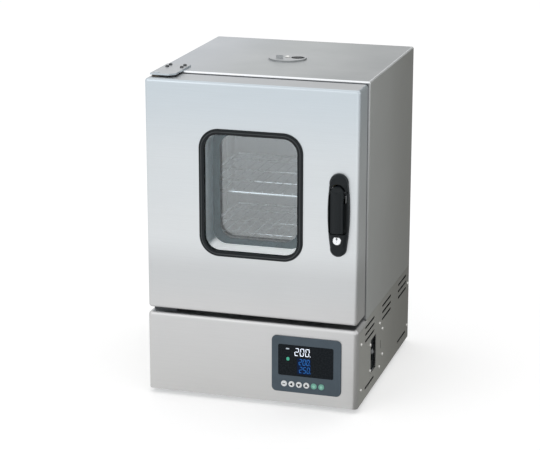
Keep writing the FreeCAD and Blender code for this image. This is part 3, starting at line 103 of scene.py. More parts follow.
def seen_directly(tree):
    """1 for the rays of the eye, of mirrors and of glass, and 0 for those that only carry light."""
    rays = tree.nodes.new("ShaderNodeLightPath")
    result = rays.outputs["Is Camera Ray"]
    for name in ("Is Glossy Ray", "Is Transmission Ray"):
        either = tree.nodes.new("ShaderNodeMath")
        either.operation = "MAXIMUM"
        tree.links.new(result, either.inputs[0])
        tree.links.new(rays.outputs[name], either.inputs[1])
        result = either.outputs[0]
    return result


bpy.ops.mesh.primitive_plane_add(size=FLOOR_SIZE, location=(0, 0, 0))
floor = bpy.context.object
floor.name = "studio_floor"

sweep = bpy.data.materials.new("white_sweep")
tree = bare_tree(sweep)
paper = tree.nodes.new("ShaderNodeBsdfDiffuse")
paper.inputs["Color"].default_value = FLOOR_COLOUR
glow = tree.nodes.new("ShaderNodeEmission")
level = tree.nodes.new("ShaderNodeMath")
level.operation = "MULTIPLY"
level.inputs[1].default_value = FLOOR_GLOW
tree.links.new(seen_directly(tree), level.inputs[0])
tree.links.new(level.outputs[0], glow.inputs["Strength"])
both = tree.nodes.new("ShaderNodeAddShader")
tree.links.new(paper.outputs[0], both.inputs[0])
tree.links.new(glow.outputs[0], both.inputs[1])
out = tree.nodes.new("ShaderNodeOutputMaterial")
tree.links.new(both.outputs[0], out.inputs[0])
floor.data.materials.append(sweep)
print("floor", FLOOR_SIZE, "m")

# %% World
WORLD_COLOUR = (1, 1, 1, 1)
WORLD_DIM = 0.80

world = bpy.data.worlds.new("white_room")
bpy.context.scene.world = world
tree = bare_tree(world)
level = tree.nodes.new("ShaderNodeMapRange")
level.inputs["To Min"].default_value = WORLD_DIM
level.inputs["To Max"].default_value = 1.0
tree.links.new(seen_directly(tree), level.inputs["Value"])
air = tree.nodes.new("ShaderNodeBackground")
air.inputs["Color"].default_value = WORLD_COLOUR
tree.links.new(level.outputs["Result"], air.inputs["Strength"])
out = tree.nodes.new("ShaderNodeOutputWorld")
tree.links.new(air.outputs[0], out.inputs[0])
print("world as a light", WORLD_DIM)

# %% Lamps
# Each lamp: its place, its side in metres and its power in watts.
LAMPS = {
    "soft_key": ((-1.6, -2.6, 2.3), 2.2, 12.0),
    "front_fill": ((0.9, -3.2, 0.7), 1.8, 4.0),
    "top_soft": ((0.0, 0.5, 2.6), 1.8, 3.0),
}
AIM = Vector((0, 0, 0.3))

for name, (place, side, power) in LAMPS.items():
    bpy.ops.object.light_add(type="AREA", location=place)
    lamp = bpy.context.object
    lamp.name = name
    lamp.data.shape = "SQUARE"
    lamp.data.size = side
    lamp.data.energy = power
    lamp.rotation_mode = "QUATERNION"
    lamp.rotation_quaternion = (Vector(place) - AIM).to_track_quat("Z", "Y")
    print("lamp", name, power, "W")
bpy.context.scene.view_settings.view_transform = "Standard"

# %% [markdown]
# ## Grey card
# Polished and brushed steel has no brightness of its own: it shows what stands round it. In an
# all-white room the oven's side would be as bright as its door and the two would melt together. A
# photographer lays and stands a grey card where the side mirrors it, and so does this cell. The
# card is a plane whose back edge is extruded upwards, and it is seen in reflections only. The edge
# is chosen by where it is, with a helper that serves all the later pieces too: choosing by place,
# and not by number, keeps a step right when a size changes.

# %% Grey card behind the right side
CARD_GREY = 0.30
CARD_BLUE_SHARE = 0.96
CARD_NEAR_X, CARD_FAR_X = 0.19, 2.6
CARD_FRONT_Y, CARD_BACK_Y = -0.7, 2.2
CARD_LIFT, CARD_HEIGHT = 0.003, 2.2
NEAR_THE_EDGE = 0.01


def choose(piece, kind, test):
    """Goes to edit mode and selects the faces, edges or points whose middle passes a test."""
    if piece.mode != "EDIT":
        bpy.ops.object.mode_set(mode="EDIT")
    bpy.ops.mesh.select_mode(type=kind)
    bpy.ops.mesh.select_all(action="DESELECT")
    shape = bmesh.from_edit_mesh(piece.data)
    pool = {"VERT": shape.verts, "EDGE": shape.edges, "FACE": shape.faces}[kind]
    for item in pool:
        corners = [item.co] if kind == "VERT" else [v.co for v in item.verts]
        item.select_set(bool(test(sum(corners, Vector()) / len(corners))))
    bmesh.update_edit_mesh(piece.data)


bpy.ops.mesh.primitive_plane_add(size=1, location=(0, 0, 0))
card = bpy.context.object
card.name = "grey_card"
card.data.transform(Matrix.Diagonal(
    (CARD_FAR_X - CARD_NEAR_X, CARD_BACK_Y - CARD_FRONT_Y, 1, 1)))
card.data.transform(Matrix.Translation(
    ((CARD_FAR_X + CARD_NEAR_X) / 2, (CARD_BACK_Y + CARD_FRONT_Y) / 2, CARD_LIFT)))
choose(card, "EDGE", lambda m: m.y > CARD_BACK_Y - NEAR_THE_EDGE)
bpy.ops.mesh.extrude_region_move(TRANSFORM_OT_translate={"value": (0, 0, CARD_HEIGHT)})
bpy.ops.object.mode_set(mode="OBJECT")
for kind in ("camera", "diffuse", "transmission", "shadow", "volume_scatter"):
    setattr(card, "visible_" + kind, False)

grey = bpy.data.materials.new("card_grey")
tree = bare_tree(grey)
dull = tree.nodes.new("ShaderNodeEmission")
dull.inputs["Color"].default_value = (CARD_GREY, CARD_GREY, CARD_GREY * CARD_BLUE_SHARE, 1)
out = tree.nodes.new("ShaderNodeOutputMaterial")
tree.links.new(dull.outputs[0], out.inputs[0])
card.data.materials.append(grey)
bpy.ops.object.select_all(action="DESELECT")
print("card faces", len(card.data.polygons))

# %% [markdown]
# ## Tools for the finishes
# Every finish is a small tree of nodes: a pattern in the piece's own coordinates, spread between
# two values, drives the colour, the roughness or a slight relief. A few short helpers keep each
# finish to a few lines, and the same helpers serve steel, rubber, plastic and wool.

# %% Helpers for patterns
def new_finish(name, **values):
    """A material that holds one shader, with its plain values set on the shader itself."""
    finish = bpy.data.materials.new(name)
    finish.use_nodes = True
    tree = finish.node_tree
    shader = tree.nodes["Principled BSDF"]
    for socket, value in values.items():
        shader.inputs[socket.replace("_", " ")].default_value = value
    return finish, tree, shader


def pattern(tree, scale, detail=4.0, kind="noise", roughness=0.55):
    """Noise or cells in the piece's own coordinates; scale is cells per metre on X, Y and Z."""
    place = tree.nodes.new("ShaderNodeTexCoord")
    stretch = tree.nodes.new("ShaderNodeMapping")
    stretch.inputs["Scale"].default_value = scale
    tree.links.new(place.outputs["Object"], stretch.inputs["Vector"])
    if kind == "noise":
        texture = tree.nodes.new("ShaderNodeTexNoise")
        texture.inputs["Scale"].default_value = 1.0
        texture.inputs["Detail"].default_value = detail
        texture.inputs["Roughness"].default_value = roughness
        result = texture.outputs["Fac"]
    else:
        texture = tree.nodes.new("ShaderNodeTexVoronoi")
        texture.inputs["Scale"].default_value = 1.0
        result = texture.outputs["Color"]
    tree.links.new(stretch.outputs["Vector"], texture.inputs["Vector"])
    return result


def spread(tree, source, low, high, start=0.3, end=0.7):
    """The part of a pattern between start and end, stretched from low to high."""
    ranged = tree.nodes.new("ShaderNodeMapRange")
    ranged.inputs["From Min"].default_value = start
    ranged.inputs["From Max"].default_value = end
    ranged.inputs["To Min"].default_value = low
    ranged.inputs["To Max"].default_value = high
    tree.links.new(source, ranged.inputs["Value"])
    return ranged.outputs["Result"]


print("pattern helpers ready")


# %% Helpers for colour and relief
def tint(tree, source, first, second):
    """A colour between two, chosen by a pattern."""
    mix = tree.nodes.new("ShaderNodeMix")
    mix.data_type = "RGBA"
    mix.inputs["A"].default_value = (*first, 1)
    mix.inputs["B"].default_value = (*second, 1)
    tree.links.new(spread(tree, source, 0, 1), mix.inputs["Factor"])
    return mix.outputs["Result"]


def relief(tree, shader, source, depth, strength=0.5):
    """A slight height from a pattern; depth is in metres."""
    bump = tree.nodes.new("ShaderNodeBump")
    bump.inputs["Strength"].default_value = strength
    bump.inputs["Distance"].default_value = depth
    tree.links.new(source, bump.inputs["Height"])
    tree.links.new(bump.outputs["Normal"], shader.inputs["Normal"])


def shade(colour, factor):
    """A colour made darker or lighter, and never more than white."""
    return tuple(min(1.0, c * factor) for c in colour)


print("colour helpers ready")

# %% [markdown]
# ## Brushed stainless steel
# The cabinet, the door and the base are sheet that was brushed in one direction before it was bent.
# The brush leaves lines that are long one way and very thin the other, so the pattern is stretched
# along the brushing. On the sides the lines run front to back. Such a sheet never looks even,
# because it mirrors the room: it is cooler where it looks at the ceiling, warmer near the table and
# darker towards the back of the room. That is painted into the colour here: each face gets a slow
# change of painted shade and painted reflection from one end to the other, faces that look up or
# down get a painted shade, and the cabinet's bends a painted highlight. The chamber's lining only
# turns a little paler towards the top.

# %% Helpers for slow shades
def along(tree, axis, start, end, stops):
    """A colour that changes slowly along one axis of the piece, through the given stops."""
    place = tree.nodes.new("ShaderNodeTexCoord")
    split = tree.nodes.new("ShaderNodeSeparateXYZ")
    tree.links.new(place.outputs["Object"], split.inputs[0])
    ramp = tree.nodes.new("ShaderNodeValToRGB")
    ramp.color_ramp.interpolation = "EASE"
    while len(ramp.color_ramp.elements) < len(stops):
        ramp.color_ramp.elements.new(0.5)
    for element, (share, colour) in zip(ramp.color_ramp.elements, stops):
        element.position = share
        element.color = (*colour, 1)
    tree.links.new(spread(tree, split.outputs[axis], 0, 1, start, end), ramp.inputs["Fac"])
    return ramp.outputs["Color"]


def fade(first, last):
    """The stops of a plain change from one colour to another."""
    return ((0.0, first), (1.0, last))


def towards(tree, axis, low, high):
    """1 on faces that look along an axis, either way, and 0 on those that lean away from it.

    low and high are the parts of the normal along that axis at which the 0 ends and the 1 starts.
    """
    place = tree.nodes.new("ShaderNodeTexCoord")
    split = tree.nodes.new("ShaderNodeSeparateXYZ")
    size = tree.nodes.new("ShaderNodeMath")
    size.operation = "ABSOLUTE"
    tree.links.new(place.outputs["Normal"], split.inputs[0])
    tree.links.new(split.outputs[axis], size.inputs[0])
    return spread(tree, size.outputs[0], 0, 1, low, high)


def blend(tree, share, first, second, kind="MIX"):
    """Two colours or two patterns, mixed by a share."""
    mix = tree.nodes.new("ShaderNodeMix")
    mix.data_type = "RGBA"
    mix.blend_type = kind
    if isinstance(share, float):
        mix.inputs["Factor"].default_value = share
    else:
        tree.links.new(share, mix.inputs["Factor"])
    tree.links.new(first, mix.inputs["A"])
    tree.links.new(second, mix.inputs["B"])
    return mix.outputs["Result"]


print("shade helpers ready")

# %% Brushed sheet
ACROSS, LENGTHWISE = (14, 1500, 1500), (1500, 14, 1500)
LINER_LINES = (20, 20, 900)
CLOUD_CELLS = (7, 7, 7)
LINE_DARK, LINE_PALE = (0.93, 0.93, 0.93), (1.0, 1.0, 1.0)
LINE_GLOSS = 0.04
LINE_DEPTH, LINE_STRENGTH = 0.00003, 0.25


def scratches(scale):
    """A function that builds the fine lines of a brush, stretched by a scale."""
    return lambda tree: pattern(tree, scale, detail=8.0, roughness=0.7)


def brushed(name, tone, grain, rough):
    """Brushed sheet: tone and grain are small functions that build the shade and the lines."""
    finish, tree, shader = new_finish(name, Metallic=1.0)
    lines = grain(tree)
    clouds = pattern(tree, CLOUD_CELLS, detail=3.0)
    fine = tint(tree, lines, LINE_DARK, LINE_PALE)
    tree.links.new(blend(tree, 1.0, tone(tree), fine, "MULTIPLY"), shader.inputs["Base Color"])
    smooth, dull = rough
    worn = tree.nodes.new("ShaderNodeMath")
    worn.operation = "ADD"
    tree.links.new(spread(tree, lines, smooth - LINE_GLOSS, smooth + LINE_GLOSS), worn.inputs[0])
    tree.links.new(spread(tree, clouds, 0.0, dull - smooth), worn.inputs[1])
    tree.links.new(worn.outputs[0], shader.inputs["Roughness"])
    relief(tree, shader, lines, LINE_DEPTH, LINE_STRENGTH)
    return finish


print("lines per metre", ACROSS, LENGTHWISE)

# %% Shades of the door, the cabinet and the base
# Where a slow change of colour starts and ends, along the width, the depth and the height of the
# oven; on the door, the cabinet and the base it is painted shade and painted light.
WIDTH_X, DEPTH_Y, HEIGHT_Z = (-0.20, 0.20), (-0.20, 0.21), (0.0, 0.6)
SEAM_Z, CHAMBER_Z = (0.1, 0.6), (0.2, 0.56)


def front_tone_painted_light(tree):
    """The door and the base in painted light: a painted reflection, neutral at the foot, brightest
    by the window and cooler at the head, and a painted shade on faces that look up or down.
    """
    # painted reflection: neutral at the foot, brightest by the window, cooler at the head
    face = along(tree, "Z", *HEIGHT_Z, (
        (0.00, (0.575, 0.575, 0.570)), (0.28, (0.600, 0.603, 0.606)),
        (0.40, (0.575, 0.590, 0.600)), (0.52, (0.680, 0.705, 0.720)),
        (0.72, (0.655, 0.690, 0.712)), (1.00, (0.575, 0.635, 0.680))))
    # painted shade on faces that look up or down, darker to the right
    ledge_painted_shade = along(tree, "X", *WIDTH_X, fade((0.50, 0.52, 0.54), (0.44, 0.45, 0.46)))
    return blend(tree, towards(tree, "Z", low=0.9, high=1.0), face, ledge_painted_shade)


def side_tone_painted_shade(tree):
    """The cabinet's sides, with a painted shade that darkens them to the back."""
    return along(tree, "Y", *DEPTH_Y, fade((0.62, 0.64, 0.64), (0.42, 0.43, 0.42)))


def shell_tone_painted_light(tree):
    """The cabinet in painted light: sides with a painted shade to the back, a top with a painted
    shade darker to the right, a painted shade on the lip in the seam and a painted highlight on the
    bends.
    """
    # painted shade: the top darkens to the right
    top = along(tree, "X", *WIDTH_X, (
        (0.0, (0.50, 0.525, 0.555)), (0.5, (0.42, 0.44, 0.445)), (1.0, (0.32, 0.335, 0.34))))
    # painted shade on the front lip, in the seam by the door
    lip_painted_shade = along(tree, "Z", *SEAM_Z, fade((0.20, 0.205, 0.21), (0.24, 0.25, 0.26)))
    folded = blend(tree, towards(tree, "Y", low=0.6, high=0.95), side_tone_painted_shade(tree), lip_painted_shade)
    # painted highlight on the rounded bends, a little dimmer to the right
    bend = along(tree, "X", *WIDTH_X, fade((0.92, 0.94, 0.97), (0.86, 0.88, 0.90)))
    rounded = blend(tree, towards(tree, "Z", low=0.2, high=0.5), folded, bend)
    return blend(tree, towards(tree, "Z", low=0.96, high=1.0), rounded, top)


def shell_grain(tree):
    """Lines that run front to back on the sides and across on the top."""
    top_lines = scratches(ACROSS)(tree)
    side_lines = scratches(LENGTHWISE)(tree)
    return blend(tree, towards(tree, "X", low=0.4, high=0.8), top_lines, side_lines)


def base_side_tone_painted_shade(tree):
    """The base's sides, a little warmer and darker than the cabinet's, with a painted shade that
    darkens them to the back.
    """
    return along(tree, "Y", *DEPTH_Y, fade((0.58, 0.585, 0.56), (0.32, 0.32, 0.30)))


def liner_tone(tree):
    """The chamber's walls, pale and cool."""
    return along(tree, "Z", *CHAMBER_Z, fade((0.74, 0.79, 0.83), (0.78, 0.83, 0.87)))


SHEET_GLOSS, LINER_GLOSS = (0.34, 0.44), (0.40, 0.48)
finishes = {
    "stainless": brushed("brushed_steel_front", front_tone_painted_light, scratches(ACROSS), SHEET_GLOSS),
    "shell_steel": brushed("brushed_steel_shell", shell_tone_painted_light, shell_grain, SHEET_GLOSS),
    "base_side_steel": brushed("brushed_steel_base", base_side_tone_painted_shade, scratches(LENGTHWISE),
                               SHEET_GLOSS),
    "liner_steel": brushed("satin_liner_steel", liner_tone, scratches(LINER_LINES), LINER_GLOSS),
}
print("steel finishes", len(finishes))

# %% [markdown]
# ## Zinc, wire and small metal
# The hidden folded parts are zinc-coated, which shows as a dull grey with large pale crystals.
# Shelf wires are polished until they shine, and the screws of the hinge are blackened. Apart from
# the crystals all of them are the same metal idea with another colour, roughness and fineness, so
# one function and a table do for them.

# %% Plain metals
METAL_RELIEF = 0.00002
METAL_DARKER, METAL_PALER = 0.9, 1.06
METAL_SMOOTHER, METAL_ROUGHER = 0.06, 0.08
# Each metal: the name of its finish, its colour, its roughness and its specks per metre.
PLAIN_METALS = {
    # painted shade: the frame of the inner pane is dark to stand for the shade inside the window;
    # the real one is grey steel
    "frame_steel": ("dull_frame", (0.10, 0.135, 0.15), 0.5, 80),
    "damper_steel": ("damper_steel", (0.45, 0.465, 0.475), 0.4, 200),
    "wire_steel": ("polished_wire", (0.86, 0.88, 0.90), 0.16, 400),
    "bright_screws": ("bright_screw", (0.82, 0.82, 0.80), 0.28, 900),
    "dark_screws": ("blackened_screw", (0.10, 0.105, 0.11), 0.42, 900),
    "brass": ("plain_brass", (0.74, 0.57, 0.28), 0.32, 500),
    # painted shade: the hinge bushes are darkened so that the gap under the hinge plate reads as
    # shade
    "dark_bronze": ("dark_bronze", (0.12, 0.10, 0.08), 0.45, 500),
    "cooler": ("cast_cooler", (0.70, 0.71, 0.72), 0.45, 700),
}


def plain_metal(name, colour, rough, cells):
    """A metal whose colour and gloss vary a little from speck to speck."""
    finish, tree, shader = new_finish(name, Metallic=1.0)
    cloud = pattern(tree, (cells, cells, cells), detail=5.0)
    colours = tint(tree, cloud, shade(colour, METAL_DARKER), shade(colour, METAL_PALER))
    gloss = spread(tree, cloud, rough - METAL_SMOOTHER, rough + METAL_ROUGHER)
    tree.links.new(colours, shader.inputs["Base Color"])
    tree.links.new(gloss, shader.inputs["Roughness"])
    relief(tree, shader, cloud, METAL_RELIEF)
    return finish


for metal, facts in PLAIN_METALS.items():
    finishes[metal] = plain_metal(*facts)
print("plain metals", len(PLAIN_METALS))

# %% Zinc with crystals
CRYSTALS, ZINC_GRAINS = (110, 110, 110), (900, 900, 900)
ZINC_DARK, ZINC_PALE = (0.50, 0.52, 0.53), (0.60, 0.62, 0.63)
ZINC_GLOSS = (0.44, 0.54)


def spangled_zinc(name):
    """A zinc coat: flat crystals, each with its own shade and gloss, over a fine grain."""
    finish, tree, shader = new_finish(name, Metallic=0.85)
    crystals = pattern(tree, CRYSTALS, kind="cells")
    tree.links.new(tint(tree, crystals, ZINC_DARK, ZINC_PALE), shader.inputs["Base Color"])
    tree.links.new(spread(tree, crystals, *ZINC_GLOSS), shader.inputs["Roughness"])
    relief(tree, shader, pattern(tree, ZINC_GRAINS), METAL_RELIEF)
    return finish


finishes["galvanised"] = spangled_zinc("spangled_zinc")
print("crystals per metre", CRYSTALS[0])

# %% [markdown]
# ## Rubber and plastic
# The handle is moulded with a fine leather-like texture, the bezel is smoother and blue-grey, and
# the display is polished acrylic. Each is one colour to the eye, yet close up it has a grain and a
# slightly uneven gloss, and that is what keeps a moulding from looking like paint. The black ones
# mirror less of the white room than plastic does by default, so they stay black.

# %% Mouldings
MOULD_CLOUDS = (25, 25, 25)
MOULD_DARKER, MOULD_PALER = 0.9, 1.1
MOULD_SMOOTHER, MOULD_ROUGHER = 0.05, 0.07
# Each moulding: its finish's name, colour, roughness, grains per metre and depth of grain.
MOULDINGS = {
    "black_rubber": ("gasket_rubber", (0.006, 0.009, 0.011), 0.5, 900, 0.00006),
    "silicone": ("seal_silicone", (0.06, 0.06, 0.065), 0.5, 700, 0.00006),
    "black_plastic": ("textured_black", (0.006, 0.009, 0.011), 0.52, 1300, 0.00012),
    "bezel_plastic": ("bezel_grey", (0.062, 0.086, 0.108), 0.5, 1500, 0.00005),
    "display_plastic": ("display_acrylic", (0.005, 0.008, 0.011), 0.26, 300, 0.00001),
    "white_plastic": ("key_white", (0.80, 0.82, 0.83), 0.4, 1500, 0.00003),
    "green_plastic": ("key_green", (0.17, 0.42, 0.34), 0.4, 1500, 0.00003),
    "grey_plastic": ("toggle_grey", (0.17, 0.18, 0.185), 0.45, 1200, 0.00004),
    "circuit_board": ("board_lacquer", (0.03, 0.16, 0.08), 0.35, 500, 0.00003),
}
# What a few of them have besides: a lacquer, or less shine.
LACQUER_AND_SHINE = {
    "black_rubber": {"shine": 0.25},
    "black_plastic": {"shine": 0.25},
    "bezel_plastic": {"shine": 0.35},
    "display_plastic": {"shine": 0.12},
    "circuit_board": {"coat": 0.3},
}


def moulded(name, colour, rough, cells, depth, coat=0.0, shine=0.5):
    """A moulding: clouds in its colour, and a grain in its gloss and its relief."""
    finish, tree, shader = new_finish(name, Coat_Weight=coat, Coat_Roughness=0.08,
                                      Specular_IOR_Level=shine)
    grains = pattern(tree, (cells, cells, cells), detail=3.0)
    clouds = pattern(tree, MOULD_CLOUDS, detail=2.0)
    colours = tint(tree, clouds, shade(colour, MOULD_DARKER), shade(colour, MOULD_PALER))
    gloss = spread(tree, grains, rough - MOULD_SMOOTHER, rough + MOULD_ROUGHER)
    tree.links.new(colours, shader.inputs["Base Color"])
    tree.links.new(gloss, shader.inputs["Roughness"])
    relief(tree, shader, grains, depth)
    return finish


for moulding, facts in MOULDINGS.items():
    finishes[moulding] = moulded(*facts, **LACQUER_AND_SHINE.get(moulding, {}))
print("mouldings", len(MOULDINGS))

# %% [markdown]
# ## Glass, the window's lining and wool
# Glass is a clear solid pane. Its shadow is left out, because a pane lets the light of the room
# through to the chamber. The inner pane has a coat that mirrors more of the room, which a higher
# index of refraction gives. Between the panes a lining closes the door. Its sill and head carry
# painted light: they are coloured pale and given a little glow of their own, standing in for the
# light of the room that their steel throws back. Wool is a dull yellow felt, and its uneven colour
# and deep relief show that it is made of fibres.

# %% Panes
SMEARS = (18, 18, 18)
SMEAR_ROUGH = 0.03
PANE_BEND, COATED_BEND = 1.42, 2.0


def clear_glass(name, colour, bend):
    """A pane; bend is its index of refraction."""
    finish, tree, shader = new_finish(name, Transmission_Weight=1.0, IOR=bend)
    smears = pattern(tree, SMEARS, detail=3.0)
    shader.inputs["Base Color"].default_value = (*colour, 1)
    tree.links.new(spread(tree, smears, 0.0, SMEAR_ROUGH), shader.inputs["Roughness"])
    rays = tree.nodes.new("ShaderNodeLightPath")
    open_air = tree.nodes.new("ShaderNodeBsdfTransparent")
    choice = tree.nodes.new("ShaderNodeMixShader")
    tree.links.new(rays.outputs["Is Shadow Ray"], choice.inputs[0])
    tree.links.new(shader.outputs[0], choice.inputs[1])
    tree.links.new(open_air.outputs[0], choice.inputs[2])
    tree.links.new(choice.outputs[0], tree.nodes["Material Output"].inputs["Surface"])
    return finish


finishes["float_glass"] = clear_glass("clear_pane", (0.96, 0.985, 0.99), PANE_BEND)
finishes["coated_glass"] = clear_glass("coated_pane", (0.93, 0.97, 1.0), COATED_BEND)
print("panes bend light by", PANE_BEND, COATED_BEND)

# %% Lining and wool
LINING_CELLS = (70, 70, 70)
# painted light: the glow of the window's sill and head
SILL_PAINTED_GLOW = 0.35
LINING_GLOSS = (0.32, 0.45)
LINING_DARKER, LINING_PALER, SILL_LIGHT_DARKER = 0.92, 1.05, 0.97
FIBRES = (300, 300, 60)
WOOL_DARK, WOOL_PALE = (0.72, 0.66, 0.42), (0.9, 0.86, 0.66)
WOOL_RELIEF, WOOL_STRENGTH = 0.0015, 0.8


def lightless(tree):
    """Plain black, for the places that give no light."""
    black = tree.nodes.new("ShaderNodeRGB")
    black.outputs[0].default_value = (0, 0, 0, 1)
    return black.outputs[0]


def lining(name, steel, sill_painted_light):
    """Steel at the sides, and painted light on the sill and head: a pale colour and a little glow
    stand for the light of the room that their steel throws back.
    """
    finish, tree, shader = new_finish(name)
    flat = towards(tree, "Z", low=0.55, high=0.8)
    cloud = pattern(tree, LINING_CELLS)
    side = tint(tree, cloud, shade(steel, LINING_DARKER), shade(steel, LINING_PALER))
    # painted light: the pale colour of the sill and head, in place of the steel's reflection
    white = tint(tree, cloud, shade(sill_painted_light, SILL_LIGHT_DARKER), sill_painted_light)
    tree.links.new(blend(tree, flat, side, white), shader.inputs["Base Color"])
    bare = tree.nodes.new("ShaderNodeMath")
    bare.operation = "SUBTRACT"
    bare.inputs[0].default_value = 1.0
    tree.links.new(flat, bare.inputs[1])
    tree.links.new(bare.outputs[0], shader.inputs["Metallic"])
    tree.links.new(blend(tree, flat, lightless(tree), white), shader.inputs["Emission Color"])
    shader.inputs["Emission Strength"].default_value = SILL_PAINTED_GLOW
    tree.links.new(spread(tree, cloud, *LINING_GLOSS), shader.inputs["Roughness"])
    return finish


def glass_wool(name):
    """A felt of glass fibres that lie flat."""
    finish, tree, shader = new_finish(name, Roughness=0.95)
    fibres = pattern(tree, FIBRES, detail=8.0)
    tree.links.new(tint(tree, fibres, WOOL_DARK, WOOL_PALE), shader.inputs["Base Color"])
    relief(tree, shader, fibres, WOOL_RELIEF, WOOL_STRENGTH)
    return finish


finishes["window_lining"] = lining("lining_painted_sill_light", (0.88, 0.93, 0.96), (0.96, 0.97, 0.97))
finishes["glass_wool"] = glass_wool("yellow_wool")
print("finishes in all", len(finishes))

# %% [markdown]
# ## Dressing the frame
# The record of the oven says which finish each piece has, so the finishes are given out by that
# list. Some pieces are set apart. The cabinet and the sides of the base were brushed front to back,
# and their finishes carry painted shade and painted light. The lining and the inner pane of the
# window have their own looks; the lining carries painted light on its sill and head, and the frame
# of the inner pane is painted dark as the shade inside the window. A few small parts of the hinges,
# the lever and the exhaust are darker than the rest of their metal; on the hinge bushes and the
# lever pin that darkness is painted shade in the gaps where they sit.

# %% Give every node its finish
OWN_FINISH = {
    "outer_shell": "shell_steel",
    "base_left_panel": "base_side_steel",
    "base_right_panel": "base_side_steel",
    "window_tunnel": "window_lining",
    # painted shade: the inner pane's frame is dark to stand for the shade inside the window
    "inner_glass_frame": "frame_steel",
    "inner_glass": "coated_glass",
    # painted shade: the bushes are darkened so that the gap under the hinge plate reads as shade
    "hinge_bushes": "dark_bronze",
    "lower_hinge_plate": "dark_screws",
    # painted shade: the lever pin is darkened so that the gap beside the lever reads as shade
    "lever_pin": "dark_screws",
    "exhaust_damper": "damper_steel",
    "exhaust_pipe": "damper_steel",
}


def dress(piece, finish):
    """Gives a piece one finish and takes off what it had."""
    piece.data.materials.clear()
    piece.data.materials.append(finish)


for part in frame["record"]["subparts"]:
    dress(oven[part["node"]], finishes[OWN_FINISH.get(part["node"], part["material_slot"])])

# %% [markdown]
# ## Tools for new pieces
# Besides choosing by place, three things are needed again and again: making one object the active
# and only selected one, joining copies into one piece, and ending a piece with its finish and its
# body.

# %% Helpers for modelling
SMOOTH_ANGLE = 30


def only(piece):
    """Selects one object and nothing else."""
    bpy.ops.object.select_all(action="DESELECT")
    piece.select_set(True)
    bpy.context.view_layer.objects.active = piece


def merged(parts, name):
    """Several objects joined into the first, under one name."""
    bpy.ops.object.select_all(action="DESELECT")
    for part in parts:
        part.select_set(True)
    bpy.context.view_layer.objects.active = parts[0]
    if len(parts) > 1:
        bpy.ops.object.join()
    whole = bpy.context.object
    whole.name = name
    return whole


def copies(model, matrices, name):
    """One object made of a model's copies, each moved by its matrix; the model is removed."""
    parts = []
    for matrix in matrices:
        part = bpy.data.objects.new(name, model.data.copy())
        part.data.transform(matrix)
        bpy.context.collection.objects.link(part)
        parts.append(part)
    bpy.data.objects.remove(model)
    return merged(parts, name)


def finished(piece, finish, body):
    """Outward normals, soft shading, a finish with its slot, and the body that a piece rides on."""
    only(piece)
    bpy.ops.object.mode_set(mode="EDIT")
    bpy.ops.mesh.select_all(action="SELECT")
    bpy.ops.mesh.normals_make_consistent(inside=False)
    bpy.ops.object.mode_set(mode="OBJECT")
    bpy.ops.object.shade_smooth_by_angle(angle=math.radians(SMOOTH_ANGLE))
    dress(piece, finish)
    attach(piece, body)
    bpy.ops.object.select_all(action="DESELECT")
    print(piece.name, "faces", len(piece.data.polygons))


# %% [markdown]
# ## Screws with a cross recess
# The panels are held by pan-head screws with a cross recess. One head is modelled: a cylinder
# whose top edge is bevelled into a dome, with two crossed blocks taken out of it. It is then
# copied to every place that the frame has a screw, turned to look out of its panel. A boolean is
# the honest way to a recess, because its walls stay straight.

# %% One screw
HEAD_SIDES = 28
DOME_SHARE, DOME_STEPS = 0.34, 4
BLADE_LENGTH, BLADE_WIDTH, BLADE_LIFT = 1.05, 0.24, 0.98
# Two places nearer than this count as one.
HAIR = 1e-6


def cross_screw(radius, height):
    """A screw head that stands on the origin and looks up."""
    bpy.ops.mesh.primitive_cylinder_add(vertices=HEAD_SIDES, radius=radius, depth=height,
                                        location=(0, 0, height / 2))
    head = bpy.context.object
    head.data.transform(head.matrix_basis)
    head.matrix_basis = Matrix.Identity(4)
    choose(head, "EDGE", lambda m: m.z > height - HAIR)
    bpy.ops.mesh.bevel(offset=radius * DOME_SHARE, segments=DOME_STEPS)
    bpy.ops.object.mode_set(mode="OBJECT")
    blades = []
    for turn in (0, 90):
        bpy.ops.mesh.primitive_cube_add(size=1, location=(0, 0, 0))
        blade = bpy.context.object
        blade.data.transform(Matrix.Diagonal(
            (radius * BLADE_LENGTH, radius * BLADE_WIDTH, height, 1)))
        blade.data.transform(Matrix.Rotation(math.radians(turn), 4, "Z"))
        blade.data.transform(Matrix.Translation((0, 0, height * BLADE_LIFT)))
        blades.append(blade)
    for blade in blades:
        only(head)
        cut = head.modifiers.new("recess", "BOOLEAN")
        cut.operation = "DIFFERENCE"
        cut.object = blade
        bpy.ops.object.modifier_apply(modifier="recess")
        bpy.data.objects.remove(blade)
    return head


print("recess width", BLADE_WIDTH, "of the radius")

# %% Places and ways of the screws
DOUBLES = 0.00001


def places_of(node):
    """Lowest and highest corner of each solid in a node, read from a merged copy of its mesh."""
    model = bpy.data.objects.new("copy_of_" + node, oven[node].data.copy())
    bpy.context.collection.objects.link(model)
    only(model)
    bpy.ops.object.mode_set(mode="EDIT")
    bpy.ops.mesh.select_all(action="SELECT")
    bpy.ops.mesh.remove_doubles(threshold=DOUBLES)
    bpy.ops.mesh.separate(type="LOOSE")
    bpy.ops.object.mode_set(mode="OBJECT")
    boxes = []
    for part in list(bpy.context.selected_objects):
        points = [v.co for v in part.data.vertices]
        low = Vector([min(p[i] for p in points) for i in range(3)])
        high = Vector([max(p[i] for p in points) for i in range(3)])
        boxes.append((low, high))
        bpy.data.objects.remove(part)
    return boxes


def outward_of(low, high):
    """The way that a screw looks: along its own length, or out of the side that it is on."""
    middle = (low + high) / 2
    size = high - low
    if size.z > max(size.x, size.y):
        return Vector((0, 0, 1))
    if size.y > max(size.x, size.z):
        return Vector((0, 1, 0))
    return Vector((math.copysign(1, middle.x), 0, 0))


